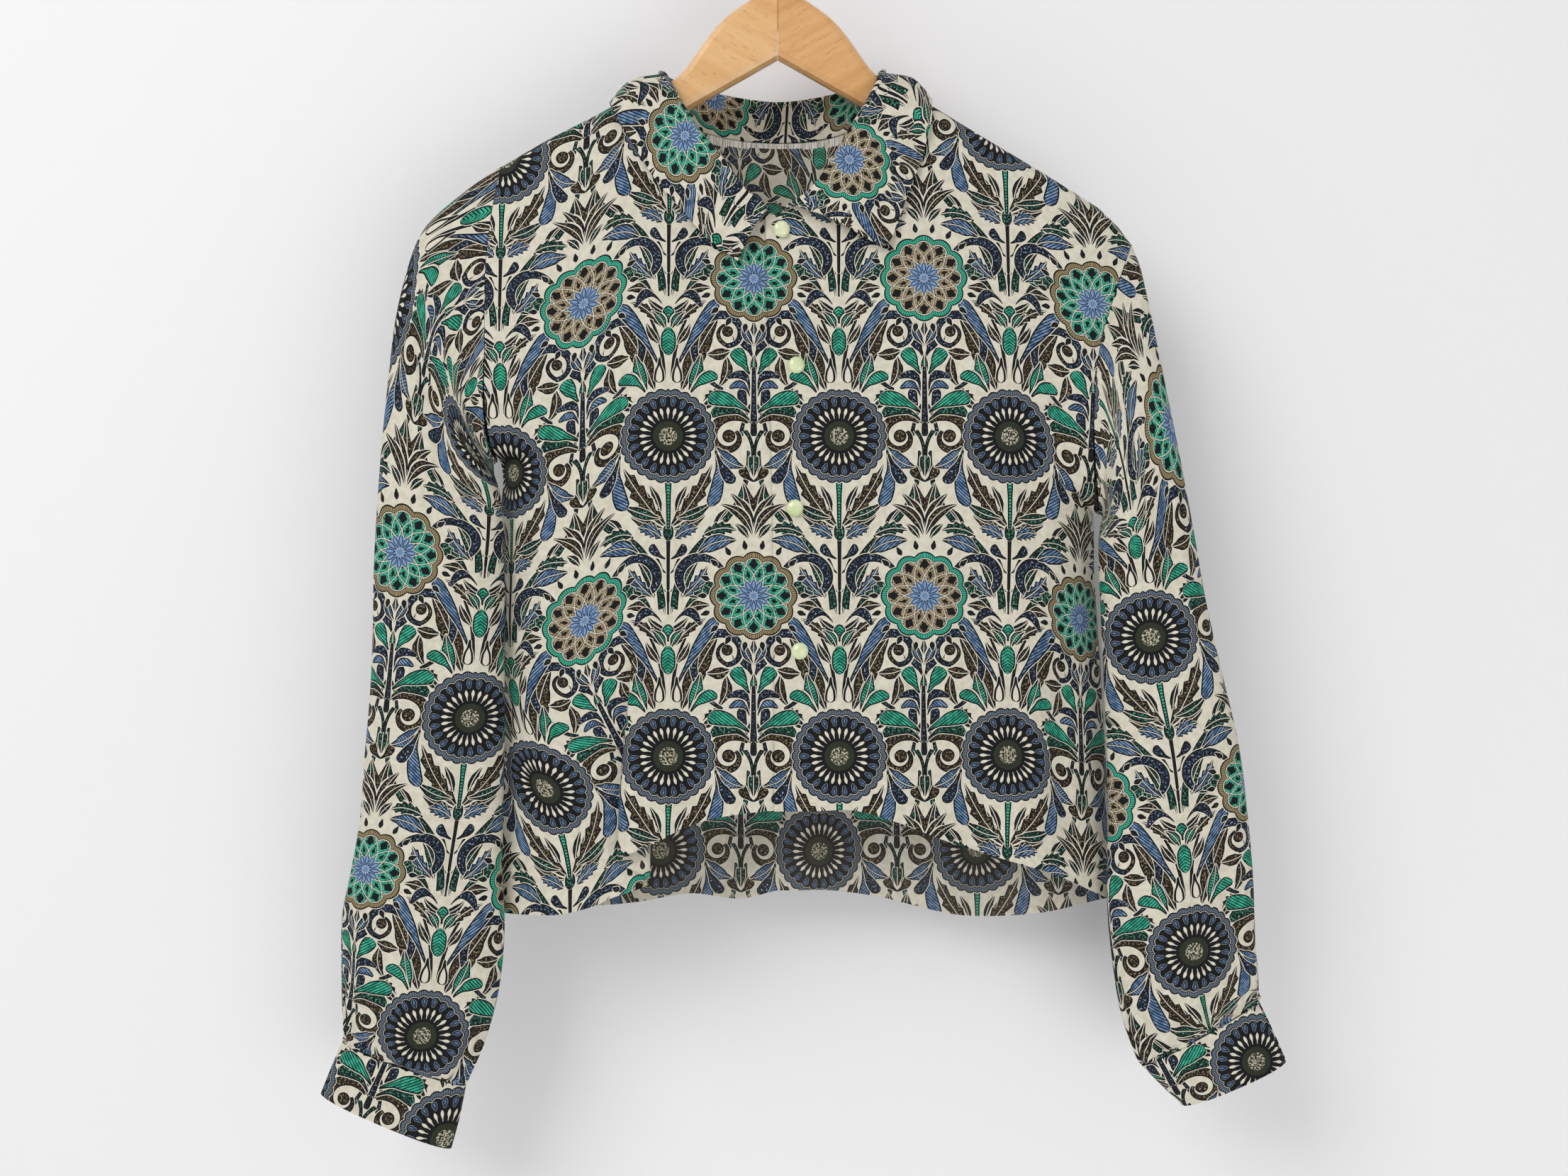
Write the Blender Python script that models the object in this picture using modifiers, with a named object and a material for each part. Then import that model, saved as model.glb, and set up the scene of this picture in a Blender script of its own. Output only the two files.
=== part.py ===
"""A cropped button-up shirt of light crepe, hanging on a flat wooden hanger.

Frame: metres, +Z up, the wearer's front towards -Y, +X to the right of someone who looks
at the front.  The origin is where the hook rests on its rail.  Every table is written in
millimetres, as measured on the hanging shirt, and each cloth piece is an open sheet on the
inner face of the wall, with the wall's thickness laid on outside it.
"""
import math

import bmesh
import bpy
import numpy as np
from mathutils import Vector

MM = 0.001

# Cloth
CLOTH = 1.6 * MM            # wall of one layer of crepe with its seams and pressed edges
SEAM_GAP = 0.3 * MM         # between the edges of two pieces at a seam
LAP_GAP = 0.8 * MM          # between the two layers of the button stand

# Hanger
WOOD_THICK = 14.0 * MM
WOOD_ROUND = 5.0 * MM
HALF_SPAN = 213.0 * MM
HOOK_WIRE = 3.6 * MM
HOOK_RADIUS = 21.0 * MM     # centre line of the hook's bow

# Buttons
FRONT_BUTTON = dict(radius=5.5 * MM, height=3.6 * MM)
CUFF_BUTTON = dict(radius=5.0 * MM, height=3.2 * MM)
BUTTON_GAP = 0.45 * MM

LEFT, RIGHT = -1, 1         # as seen from the front


def table(names, *rows):
    """Rows of millimetres under named columns, kept as arrays in metres."""
    return dict(zip(names.split(), np.array(rows, dtype=float).T * MM))


def eased(knots, values, at):
    """Values on a smooth line through the knots, held level past either end."""
    slopes = np.gradient(values, knots)
    at = np.clip(np.asarray(at, dtype=float), min(knots[0], knots[-1]), max(knots[0], knots[-1]))
    if knots[0] > knots[-1]:
        knots, values, slopes = knots[::-1], values[::-1], slopes[::-1]
    i = np.clip(np.searchsorted(knots, at) - 1, 0, len(knots) - 2)
    step = knots[i + 1] - knots[i]
    t = (at - knots[i]) / step
    return ((2 * t**3 - 3 * t**2 + 1) * values[i] + (t**3 - 2 * t**2 + t) * step * slopes[i]
            + (3 * t**2 - 2 * t**3) * values[i + 1] + (t**3 - t**2) * step * slopes[i + 1])


def unit(vectors):
    return vectors / np.sqrt((vectors**2).sum(axis=0))


def ramp(t):
    """Nought to one with a soft start and end."""
    t = np.clip(t, 0.0, 1.0)
    return t * t * (3 - 2 * t)


# ---------------------------------------------------------------- where the body's edges run

# The line over the top of the shoulders, from sleeve head to sleeve head.
SHOULDER = table("x z",
                 (-246, -262), (-235, -233), (-224.6, -222), (-203.8, -207.4), (-183, -192.8),
                 (-151.8, -174.6), (-123.2, -160.2), (-99.8, -147.4), (-66, -127.4), (0, -90),
                 (66, -129.6), (98, -150), (131.6, -170.6), (175.8, -197), (212.2, -220.0),
                 (225, -232.4), (233, -243.4), (243, -264))

# Armhole seam and then side seam, from the shoulder down to the hem.
SIDE_EDGE = {
    LEFT: table("z x", (-192.3, -182), (-225, -187.5), (-257, -190.5), (-313, -190.5),
                (-360, -190), (-378, -187), (-386, -184), (-430, -186), (-500, -190),
                (-600, -193), (-686, -193)),
    RIGHT: table("z x", (-243.4, 233), (-275, 221.5), (-310, 210.5), (-344, 206),
                 (-385, 205.5), (-410, 207.5), (-420, 209), (-460, 211), (-520, 216),
                 (-600, 221), (-680, 225)),
}
UNDERARM_Z = {LEFT: -386 * MM, RIGHT: -420 * MM}
UNDERARM_Y = 4.0 * MM
SIDE_SEAM_Y = table("drop y", (0, 4), (45, 12), (115, 18), (200, 20), (320, 20))

# How far the front and the back stand out from the hanger's plane.
FRONT_DEPTH = table("z y", (-120, 18), (-190, 21), (-260, 26), (-340, 31), (-430, 35),
                    (-530, 37), (-620, 38), (-700, 38))
BACK_DEPTH = table("z y", (-120, 20), (-260, 24), (-400, 27), (-700, 28))
ARM_COVER = 9.3 * MM        # cloth to hanger plane just below the top of an arm
ARM_ROUND = 9.0 * MM        # drop over which it rounds the arm
SPREAD = 45.0 * MM          # drop over which it leaves the arm for its full depth
NECK_HOLD = dict(out=22.0 * MM, wide=62.0 * MM, tall=75.0 * MM, z=-166.0 * MM, start=50.0 * MM)
STAND_LAP = dict(x=-34.0 * MM, wide=24.0 * MM)  # where the under front steps back for the lap

# Each panel runs from u = 0 at its centre edge to u = 1 at the armhole and side seam.
NECK_U = 0.45               # where a panel's top edge passes from neck seam to shoulder seam
FRONT_TOP = {
    LEFT: table("u x z", (0, 27, -227), (60, 5, -227), (100, -6, -227), (180, -25, -215),
                (260, -45, -199), (330, -62, -182), (380, -74, -167), (420, -83, -154),
                (450, -90, -142.3)),
    RIGHT: table("u x z", (0, -8, -228), (60, 6, -225.5), (120, 22, -217), (200, 39, -203),
                 (280, 53, -187), (340, 63, -171), (390, 71, -156), (425, 76.5, -145),
                 (450, 81, -139.2)),
}
FRONT_HEM = {
    LEFT: table("u x z", (0, 27, -613), (100, 2, -614), (200, -25, -616.5), (300, -50, -621.5),
                (390, -70, -630), (450, -81, -640), (510, -91, -652), (570, -101, -665),
                (640, -114, -675), (740, -135, -682), (870, -166, -685), (1000, -193, -686)),
    RIGHT: table("u x z", (0, -2, -614.5), (120, 22, -613.5), (250, 50, -612), (360, 74, -617.5),
                 (500, 108, -630), (650, 142, -640), (800, 177, -650), (1000, 225, -672)),
}
BACK_TOP = {
    LEFT: table("u x z", (0, 0, -166), (130, -26, -165.4), (260, -51, -162), (350, -69, -157),
                (410, -82, -149.5), (450, -90, -142.3)),
    RIGHT: table("u x z", (0, 0, -166), (130, 24, -165.4), (260, 47, -162), (350, 63, -156),
                 (410, 74, -147.5), (450, 81, -139.2)),
}
BACK_HEM = {
    LEFT: table("u x z", (0, 0, -676), (150, -28, -683), (300, -60, -679), (450, -92, -683),
                (620, -123, -687), (800, -160, -686), (1000, -193, -686)),
    RIGHT: table("u x z", (0, 0, -676), (150, 30, -675.5), (300, 64, -681), (450, 95, -688),
                 (620, 132, -695), (800, 172, -692), (1000, 225, -680)),
}
PLACKET_EDGE = {
    LEFT: table("z x", (-227, 27), (-400, 29), (-613, 27)),
    RIGHT: table("z x", (-228, -8), (-330, -5), (-430, -3), (-530, -2), (-614.5, -2)),
}

# The deep fold of the wearer's right front, which laps towards the side and opens downwards.
SIDE_FOLD = dict(x=-92.0 * MM, half_width=9.5 * MM, turn=0.72, sharp=0.30,
                 top=-430.0 * MM, full=-640.0 * MM, across=37.0 * MM, forward=15.0 * MM,
                 reach=5.0)

# Soft flutes that hang from chest to hem: middle line, half width, how far out, where they start.
FLUTE_GROWTH = 160.0 * MM   # drop over which a flute grows to its full depth
FRONT_FLUTES = table("x wide out start", (-150, 16, 5, -470), (70, 20, 5, -430),
                     (128, 17, -5, -380), (168, 16, 6, -430))
BACK_FLUTES = table("x wide out start", (-140, 24, 8, -430), (-92, 18, -6, -480),
                    (-38, 22, 7, -500), (18, 20, -7, -420), (74, 24, 8, -470),
                    (140, 26, 9, -400), (188, 18, -5, -450))


UNDERARM_V = 0.45           # v runs from 0 at the top edge through the underarm to 1 at the hem
UNDERARM_LEVEL = -400.0 * MM    # height at which the centre edges cross the underarm row
ARMHOLE_DEPTH = 0.8         # depth of the armhole seam against that of the panel beside it
ARMHOLE_ROUND = 0.7         # how bluntly the armhole closes at the underarm
SECTION = dict(lens=3, blunt=9, lens_to=0.30, tube_from=0.48, tube_to=0.78)     # by share down the panel


def side_point(side, v):
    """x and z on the armhole seam and, below the underarm, on the side seam."""
    edge = SIDE_EDGE[side]
    top, under, hem = edge["z"][0], UNDERARM_Z[side], edge["z"][-1]
    turn = math.pi * np.clip(v / UNDERARM_V, 0, 1)
    z = top + (under - top) * (1 - np.cos(turn)) / 2
    z = np.where(v > UNDERARM_V, under + (hem - under) * (v - UNDERARM_V) / (1 - UNDERARM_V), z)
    return eased(edge["z"], edge["x"], z), z


def top_point(tops, side, u):
    """x and z along the neck seam and then out along the shoulder."""
    neck = tops[side]
    knots = neck["u"] * 1.0
    x = eased(knots, neck["x"], np.minimum(u, NECK_U))
    z = eased(knots, neck["z"], np.minimum(u, NECK_U))
    shoulder_x = neck["x"][-1] + (SIDE_EDGE[side]["x"][0] - neck["x"][-1]) * (u - NECK_U) / (1 - NECK_U)
    x = np.where(u > NECK_U, shoulder_x, x)
    return x, np.where(u > NECK_U, shoulder_height(x), z)


def shoulder_height(x):
    return np.interp(x, SHOULDER["x"], SHOULDER["z"])


def standing_out(depths, x, z):
    """Distance of the cloth from the hanger's plane where it hangs free of the side seams."""
    drop = np.maximum(shoulder_height(x) - z, 0)
    over = np.sqrt(1 - (1 - np.minimum(drop / ARM_ROUND, 1))**2)
    free = eased(depths["z"], depths["y"], z) - ARM_COVER
    return ARM_COVER * over + free * (1 - np.exp(-drop / SPREAD))


def flutes(rows, x, z):
    """Sum of the soft vertical folds, growing down to the hem."""
    out = 0.0 * x
    for i in range(len(rows["x"])):
        grown = ramp((rows["start"][i] - z) / FLUTE_GROWTH)
        out = out + rows["out"][i] * grown * np.exp(-((x - rows["x"][i]) / rows["wide"][i])**2)
    return out


def panel_point(side, u, v, tops, hems, centre, depths, facing, rows):
    """One point of a body panel: its outline filled in, then brought out to its depth."""
    top_x, top_z = top_point(tops, side, u)
    corner_x, corner_z = top_point(tops, side, 1.0 + 0 * u)
    hem = hems[side]
    hem_x, hem_z = eased(hem["u"], hem["x"], u), eased(hem["u"], hem["z"], u)
    share = np.where(v < UNDERARM_V, (1 - np.cos(math.pi * np.clip(v / UNDERARM_V, 0, 1))) / 2, 1)
    start_x, start_z = top_point(tops, side, 0 * u)
    below = (v - UNDERARM_V) / (1 - UNDERARM_V)
    mid_z = start_z + share * (UNDERARM_LEVEL - start_z)
    mid_z = np.where(v > UNDERARM_V, UNDERARM_LEVEL + (hem["z"][0] - UNDERARM_LEVEL) * below, mid_z)
    mid_x = start_x * 0 if centre is None else eased(centre["z"], centre["x"], mid_z)
    edge_x, edge_z = side_point(side, v)
    down = np.where(v > UNDERARM_V, UNDERARM_V + (1 - UNDERARM_V) * below, UNDERARM_V * share)

    def fill(top, bottom, inner, outer, a, b, c, d):
        flat = (1 - down) * ((1 - u) * a + u * b) + down * ((1 - u) * c + u * d)
        return (1 - down) * top + down * bottom + (1 - u) * inner + u * outer - flat

    x = fill(top_x, hem_x, mid_x, edge_x, start_x, corner_x, hem["x"][0], hem["x"][-1])
    z = fill(top_z, hem_z, mid_z, edge_z, start_z, corner_z, hem["z"][0], hem["z"][-1])
    out = standing_out(depths, x, z)
    if facing > 0:
        hold = NECK_HOLD
        out = out + (hold["out"] * np.exp(-(x / hold["wide"])**2 - ((z - hold["z"]) / hold["tall"])**2)
                     * ramp((shoulder_height(x) - z) / hold["start"]))
    out = out + flutes(rows, x, z)
    # Towards the underarm and down the side the wall turns in to meet its neighbour.
    late = np.clip(v / UNDERARM_V, 0, 1)
    open_share = np.where(late > 0.5, np.sin(math.pi * late)**ARMHOLE_ROUND, 1.0)
    seam_y = np.where(v > UNDERARM_V, eased(SIDE_SEAM_Y["drop"], SIDE_SEAM_Y["y"],
                                            np.maximum(UNDERARM_Z[side] - edge_z, 0)), UNDERARM_Y)
    edge_out = standing_out(depths, edge_x, edge_z) * ARMHOLE_DEPTH
    edge_y = seam_y * (1 - open_share) + facing * edge_out * open_share
    power = SECTION["lens"] + (SECTION["blunt"] - SECTION["lens"]) * ramp(down / SECTION["lens_to"])
    tube = ramp((down - SECTION["tube_from"]) / (SECTION["tube_to"] - SECTION["tube_from"]))
    full = (1 - tube) * (1 - u**power) + tube * np.sqrt(np.maximum(1 - u**3, 0))
    y = edge_y + (facing * out - edge_y) * full
    return x, y, z


def deep_fold(x, y, z):
    """The lapped fold: cloth left of it slides under, cloth right of it slides over."""
    fold = SIDE_FOLD
    grown = ramp((fold["top"] - z) / (fold["top"] - fold["full"]))
    t = (x - fold["x"]) / fold["half_width"]
    steps = (np.tanh((t + fold["turn"]) / fold["sharp"]) + np.tanh((t - fold["turn"]) / fold["sharp"])) / 2
    fade = 1 - ramp((np.abs(t) - 1) / fold["reach"])
    x = x - fold["across"] * grown * t * np.exp(-t * t)
    return x, y - fold["forward"] / 2 * grown * steps * fade, z


def front_point(side, u, v):
    """A point of a front on the inner face of its wall."""
    x, y, z = panel_point(side, u, v, FRONT_TOP, FRONT_HEM, PLACKET_EDGE[side], FRONT_DEPTH, -1,
                          FRONT_FLUTES)
    if side == LEFT:
        lap = ramp((x - STAND_LAP["x"]) / STAND_LAP["wide"])
        y = y + lap * (CLOTH + LAP_GAP)
        x, y, z = deep_fold(x, y, z)
    return x, y - SEAM_GAP / 2, z


def back_point(side, u, v):
    """A point of the back on the inner face of its wall."""
    x, y, z = panel_point(side, u, v, BACK_TOP, BACK_HEM, None, BACK_DEPTH, 1, BACK_FLUTES)
    return x, y + SEAM_GAP / 2, z


# ---------------------------------------------------------------- sleeves and cuffs

# Outer and inner edge of the hanging sleeve from shoulder to cuff seam, the middle of its
# depth, and how far it stands in front of that and behind it.
SLEEVE = {
    LEFT: table("ox oz ix iz y front back",
                (-182, -192.3, -184, -386, 0, 20, 17), (-204, -206.8, -188, -387, 0, 20, 17),
                (-224, -221.8, -190, -389, 0, 21, 17), (-236, -237, -189.5, -391, -2, 21, 17),
                (-244, -262, -188.5, -393.5, -5, 20, 16), (-250.5, -295, -187, -397, -9, 19, 14),
                (-254, -332, -185, -402, -13, 18, 12), (-257, -372, -183, -411, -16, 17, 11),
                (-259, -412, -181, -427, -18, 16, 10), (-261, -455, -179.5, -456, -19, 16, 10),
                (-262, -497, -179.5, -497, -19, 16, 10), (-264, -538, -180, -538, -19, 16, 10),
                (-268, -582, -180.5, -580, -18, 16, 10), (-271, -621, -181, -616, -17, 16, 10),
                (-277, -652, -181, -652, -16, 16, 11), (-284.5, -685, -179.2, -693, -14, 17, 12),
                (-286, -718, -182.5, -732, -11, 17, 13), (-286, -748, -191.5, -767, -9, 16, 13),
                (-285, -765, -203, -792, -8, 12, 11), (-285.6, -769.5, -206.4, -797.6, -8, 11, 10)),
    RIGHT: table("ox oz ix iz y front back",
                 (233, -243.4, 209, -420, 0, 20, 17), (237.5, -256, 215, -421.5, 0, 20, 17),
                 (241.5, -275, 216, -423.5, -2, 20, 17), (247, -302, 215.5, -426, -5, 20, 15),
                 (253, -334, 214, -429.5, -9, 19, 14), (259.5, -372, 212.5, -435, -13, 18, 12),
                 (266, -408, 211.5, -443, -16, 17, 11), (272, -443, 211, -458, -18, 16, 10),
                 (278, -477, 212, -487, -19, 16, 10), (288, -523, 214, -533, -19, 16, 10),
                 (299.5, -574, 215.5, -581, -19, 16, 10), (305.7, -621, 215.5, -631, -18, 16, 10),
                 (310, -662, 215.5, -678, -16, 17, 12), (312.5, -700, 219.5, -714, -12, 17, 13),
                 (315, -726, 226.5, -750, -9, 16, 13), (315, -738, 237, -778, -8, 12, 11),
                 (316.2, -742.6, 240.4, -784, -8, 11, 10)),
}
# Cuff: seam end and hem end of the outer and inner edge.
CUFF = {
    LEFT: table("ox oz ix iz y front back",
                (-285.9, -770.4, -206.7, -798.5, -8, 11, 10), (-293, -787, -211, -820, -8, 11.5, 10),
                (-300.2, -804.5, -216.5, -840, -7, 12, 10)),
    RIGHT: table("ox oz ix iz y front back",
                 (316.5, -743.3, 240.9, -784.8, -8, 11, 10), (325.5, -762, 254, -798, -8, 13, 11),
                 (334.5, -782, 267.5, -811, -7, 15, 12)),
}
GATHERS = dict(count=9, deep=1.6 * MM, tall=48.0 * MM, hold=0.012)
FACING = dict(round=1.6, down=0.05)     # radians and share of sleeve where it faces the body
ARMHOLE_REACH = 0.42        # share down the sleeve over which the armhole's shape fades
SLEEVE_BLUNT = dict(head=4.0, cuff=2.5, by=0.6)    # how square the flattened tube is
CUFF_SLIT = dict(front=0.30, back=0.10)     # radians left open either side of the outer edge


def tube_point(rows, angle, t, blunt):
    """A point round a flattened tube; angle 0 is its outer edge, pi its inner edge."""
    knots = np.arange(len(rows["ox"])) / (len(rows["ox"]) - 1)
    at = {name: eased(knots, values, t) for name, values in rows.items()}
    c, s = np.cos(angle), np.sin(angle)
    fat = np.sqrt(np.maximum(1 - np.abs(c)**blunt, 0)) * np.sign(s)
    x = (at["ox"] + at["ix"]) / 2 + c * (at["ox"] - at["ix"]) / 2
    z = (at["oz"] + at["iz"]) / 2 + c * (at["oz"] - at["iz"]) / 2
    y = at["y"] - np.where(fat > 0, at["front"], at["back"]) * fat
    return x, y, z


def armhole_point(side, angle):
    """The seam round the armhole; the front half is 0 to pi, the back half pi to 2 pi."""
    v = np.where(angle <= math.pi, angle, 2 * math.pi - angle) / math.pi * UNDERARM_V
    one = 1.0 + 0 * v
    front, back = front_point(side, one, v), back_point(side, one, v)
    return tuple(np.where(angle <= math.pi, f, b) for f, b in zip(front, back))


def sleeve_point(side, angle, t):
    """A point of the sleeve: the armhole seam's own shape at the top, a plain tube lower down."""
    rows = SLEEVE[side]
    head, cuff = SLEEVE_BLUNT["head"], SLEEVE_BLUNT["cuff"]
    x, y, z = tube_point(rows, angle, t, head + (cuff - head) * ramp(t / SLEEVE_BLUNT["by"]))
    first = tube_point(rows, angle, 0 * t, head)
    seam = armhole_point(side, angle)
    keep = 1 - ramp(t / ARMHOLE_REACH)
    x, y, z = (p + keep * (s - f) for p, s, f in zip((x, y, z), seam, first))
    length = rows["oz"][0] - rows["oz"][-1]
    near_cuff = ramp(1 - (1 - t) * length / GATHERS["tall"]) * ramp((1 - t) / GATHERS["hold"])
    y = y + GATHERS["deep"] * near_cuff * np.sin(GATHERS["count"] * angle) * np.sign(np.sin(angle))
    # At the underarm the two walls lie face to face, so the sleeve stands off by both of them.
    facing = 2 * CLOTH * ramp(1 - np.abs(angle - math.pi) / FACING["round"])
    facing = facing * (1 - ramp(t / FACING["down"]))
    return x + side * (SEAM_GAP * 1.3 + facing), y, z


# ---------------------------------------------------------------- collar

# Places round the neck from one front end to the other: the roll line, the outer edge, and
# the compass direction in which the collar falls (degrees, 90 is straight back).
COLLAR = table("t rx ry rz ex ey ez",
               (0, -7, -29, -223.5, -25.9, -29, -259), (60, -22, -28.5, -211, -43.8, -28.5, -246),
               (130, -36, -27.5, -191.5, -62, -27.5, -226), (210, -52, -24, -172, -81, -23.5, -203),
               (270, -64.5, -17, -152, -96, -17.5, -178),
               (310, -74, -12, -135, -107, -14.5, -159), (322, -76, -7, -130.5, -109.5, -8.5, -152.3),
               (335, -77.5, -1, -128.3, -111, -1, -149.4), (365, -74, 12, -129, -108, 12, -153.5),
               (400, -60, 27, -131, -88, 21, -166), (440, -40, 36, -134, -53, 33.5, -176),
               (500, 0, 43, -137.5, 0, 46.5, -180), (560, 38, 36, -134, 49, 33.5, -176),
               (600, 55, 27, -131, 79, 21, -166), (635, 67, 12, -129, 98, 12, -151),
               (665, 70, -1, -127.6, 101, -1, -147.6),
               (678, 69.5, -7, -129.8, 101.5, -8.5, -150.3), (690, 68, -12, -135, 101, -15, -160),
               (730, 60, -17, -151, 95, -19, -187), (790, 46, -24, -174, 88, -26, -206),
               (870, 33, -27.5, -197, 80, -29, -228), (940, 21, -28.5, -213, 73.5, -31.5, -245),
               (1000, 10, -29, -220.5, 68.5, -33, -251.5))
COLLAR_FALLS = dict(t=np.array([0, .13, .21, .28, .335, .385, .44, .5,
                                .56, .615, .665, .72, .79, .87, 1]),
                    towards=np.array([-100.0, -110, -125, -150, -180, -215, -245, -270,
                                      -295, -325, -360, -390, -415, -430, -440]))
ROLL_RADIUS = 2.2 * MM
STAND_RISE = 1.3 * MM               # straight up off the seam before the stand leans
STAND_BOW = 0.8 * MM
SIDE_NECK_T = (0.335, 0.665)        # where the collar passes the two shoulder seams
COLLAR_LIFT = 0.86 * MM              # from the panels' edge to the collar's own
FRONT_END_U = {LEFT: 0.10, RIGHT: 0.06}


def neck_seam(t, v=0.0):
    """The panels' neck edge below each place of the collar, or a little down from it."""
    first, last = SIDE_NECK_T
    pieces = ((t <= first, front_point, LEFT, FRONT_END_U[LEFT] + (NECK_U - FRONT_END_U[LEFT]) * t / first),
              ((t > first) & (t <= 0.5), back_point, LEFT, NECK_U * (0.5 - t) / (0.5 - first)),
              ((t > 0.5) & (t <= last), back_point, RIGHT, NECK_U * (t - 0.5) / (last - 0.5)),
              (t > last, front_point, RIGHT,
               FRONT_END_U[RIGHT] + (NECK_U - FRONT_END_U[RIGHT]) * (1 - t) / (1 - last)))
    found = np.zeros((3,) + t.shape)
    for inside, point, side, u in pieces:
        found = np.where(inside, np.array(point(side, np.clip(u, 0, NECK_U), v + 0 * t)), found)
    return found


def collar_point(t, s):
    """A point of the collar; s runs from the neck seam over the roll to the outer edge."""
    seam = neck_seam(t)
    roll = np.array([eased(COLLAR["t"] / MM / 1000, COLLAR[name], t) for name in ("rx", "ry", "rz")])
    edge = np.array([eased(COLLAR["t"] / MM / 1000, COLLAR[name], t) for name in ("ex", "ey", "ez")])
    way = np.radians(eased(COLLAR_FALLS["t"], COLLAR_FALLS["towards"], t))
    out = np.array([np.cos(way), np.sin(way), 0 * way]) * ROLL_RADIUS
    up = np.array([0 * t, 0 * t, 1 + 0 * t]) * ROLL_RADIUS
    along = unit(neck_seam(np.minimum(t + 0.004, 1)) - neck_seam(np.maximum(t - 0.004, 0)))
    rise = seam - neck_seam(t, 0.024)
    rise = unit(rise - along * (rise * along).sum(axis=0))
    face = np.cross(along, rise, axis=0)
    away = np.array([0 * t, seam[1], 4 * MM + 0 * t])       # off the hanger, where the walls lie
    over_arm = np.exp(-(np.minimum(abs(t - SIDE_NECK_T[0]), abs(t - SIDE_NECK_T[1])) / 0.018)**2)
    start = (seam + rise * COLLAR_LIFT * (1 + 1.0 * over_arm)
             + face * np.sign((face * away).sum(axis=0)) * CLOTH * (0.5 + 0.35 * over_arm))
    belly = 1 + 1.6 * np.exp(-((np.minimum(abs(t - SIDE_NECK_T[0]), abs(t - SIDE_NECK_T[1]))) / 0.05)**2)
    profile = np.array([start, start + STAND_RISE * rise, (start + roll) / 2 + STAND_BOW * rise,
                        roll - out - 1.2 * up, roll - 0.5 * out - 0.2 * up,
                        roll + 0.5 * out - 0.2 * up, roll + out - 1.2 * up,
                        0.62 * roll + 0.38 * edge + belly * (out + 0.4 * up),
                        0.27 * roll + 0.73 * edge + belly * (0.6 * out + 0.3 * up), edge])
    knots = np.linspace(0, 1, len(profile))
    return tuple(sum(profile[i][axis] * np.maximum(1 - np.abs(s - knots[i]) * (len(profile) - 1), 0)
                     for i in range(len(profile))) for axis in range(3))


# ---------------------------------------------------------------- making the solids

def main_collection(name):
    collection = bpy.data.collections.new(name)
    bpy.context.scene.collection.children.link(collection)
    return collection


def finish(name, rgb, roughness, metallic=0.0):
    """A plain material of its own for one sub-part."""
    material = bpy.data.materials.new(name)
    material.use_nodes = True
    shader = material.node_tree.nodes["Principled BSDF"]
    shader.inputs["Base Color"].default_value = (*rgb, 1.0)
    shader.inputs["Roughness"].default_value = roughness
    shader.inputs["Metallic"].default_value = metallic
    return material


def add(name, mesh, material, smooth=True):
    thing = bpy.data.objects.new(name, mesh)
    thing.data.materials.append(material)
    shirt.objects.link(thing)
    if smooth:
        mesh.shade_smooth()
        mesh.set_sharp_from_angle(angle=math.radians(50))
    return thing


def cloth(name, points, colour, closed=False, flip=False, outside=1.0):
    """A grid of points[row, column] made into a sheet, with the cloth's wall laid on outside."""
    rows, columns = points[0].shape
    build = bmesh.new()
    grid = [[build.verts.new(tuple(float(p[r, c]) for p in points)) for c in range(columns)]
            for r in range(rows)]
    for r in range(rows - 1):
        for c in range(columns if closed else columns - 1):
            d = (c + 1) % columns
            corners = (grid[r][c], grid[r + 1][c], grid[r + 1][d], grid[r][d])
            build.faces.new(reversed(corners) if flip else corners)
    mesh = bpy.data.meshes.new(name)
    build.to_mesh(mesh)
    build.free()
    thing = add(name, mesh, finish(name + "_crepe", colour, 0.85))
    wall = thing.modifiers.new("wall", "SOLIDIFY")
    wall.thickness = CLOTH
    wall.offset = outside
    return thing


def spaced(*stretches):
    """Numbers in evenly filled stretches that share their ends: (from, to, steps)."""
    runs = [np.linspace(start, end, steps + 1) for start, end, steps in stretches]
    return np.concatenate([runs[0]] + [run[1:] for run in runs[1:]])


# Rows of the body and rings of the sleeve share their places down the armhole seam.
ARMHOLE_V = np.concatenate([[0, 0.010, 0.024, 0.046], np.linspace(0.09, UNDERARM_V, 9)])
BODY_V = np.concatenate([ARMHOLE_V, np.linspace(UNDERARM_V, 1, 11)[1:]])
FRONT_U = {
    LEFT: spaced((0, 0.10, 1), (0.10, 0.42, 7), (0.42, NECK_U, 3), (NECK_U, 0.66, 12), (0.66, 0.94, 4),
                 (0.94, 1, 2)),
    RIGHT: spaced((0, 0.06, 1), (0.06, 0.425, 7), (0.425, NECK_U, 3), (NECK_U, 0.94, 6), (0.94, 1, 2)),
}
BACK_U = spaced((0, 0.40, 6), (0.40, NECK_U, 4), (NECK_U, 0.94, 5), (0.94, 1, 2))
SLEEVE_T = spaced((0, 0.45, 8), (0.45, 0.80, 4), (0.80, 1, 4))
CUFF_T = np.linspace(0, 1, 3)


def collar_stations():
    """One station over each column of the panels below, so that both edges bend together."""
    first, last = SIDE_NECK_T
    share = {side: (FRONT_U[side] - FRONT_END_U[side]) / (NECK_U - FRONT_END_U[side])
             for side in (LEFT, RIGHT)}
    reach = {side: values[(values > -1e-9) & (values < 1 + 1e-9)] for side, values in share.items()}
    behind = BACK_U[BACK_U < NECK_U - 1e-9] / NECK_U
    return np.concatenate([first * reach[LEFT], 0.5 - (0.5 - first) * behind[::-1],
                           0.5 + (last - 0.5) * behind[1:], 1 - (1 - last) * reach[RIGHT][::-1]])


COLLAR_S = np.linspace(0, 1, 10)

CREAM = (0.30, 0.33, 0.30)
TINTS = {"back": (0.26, 0.30, 0.30), "collar": (0.28, 0.36, 0.36)}


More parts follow.
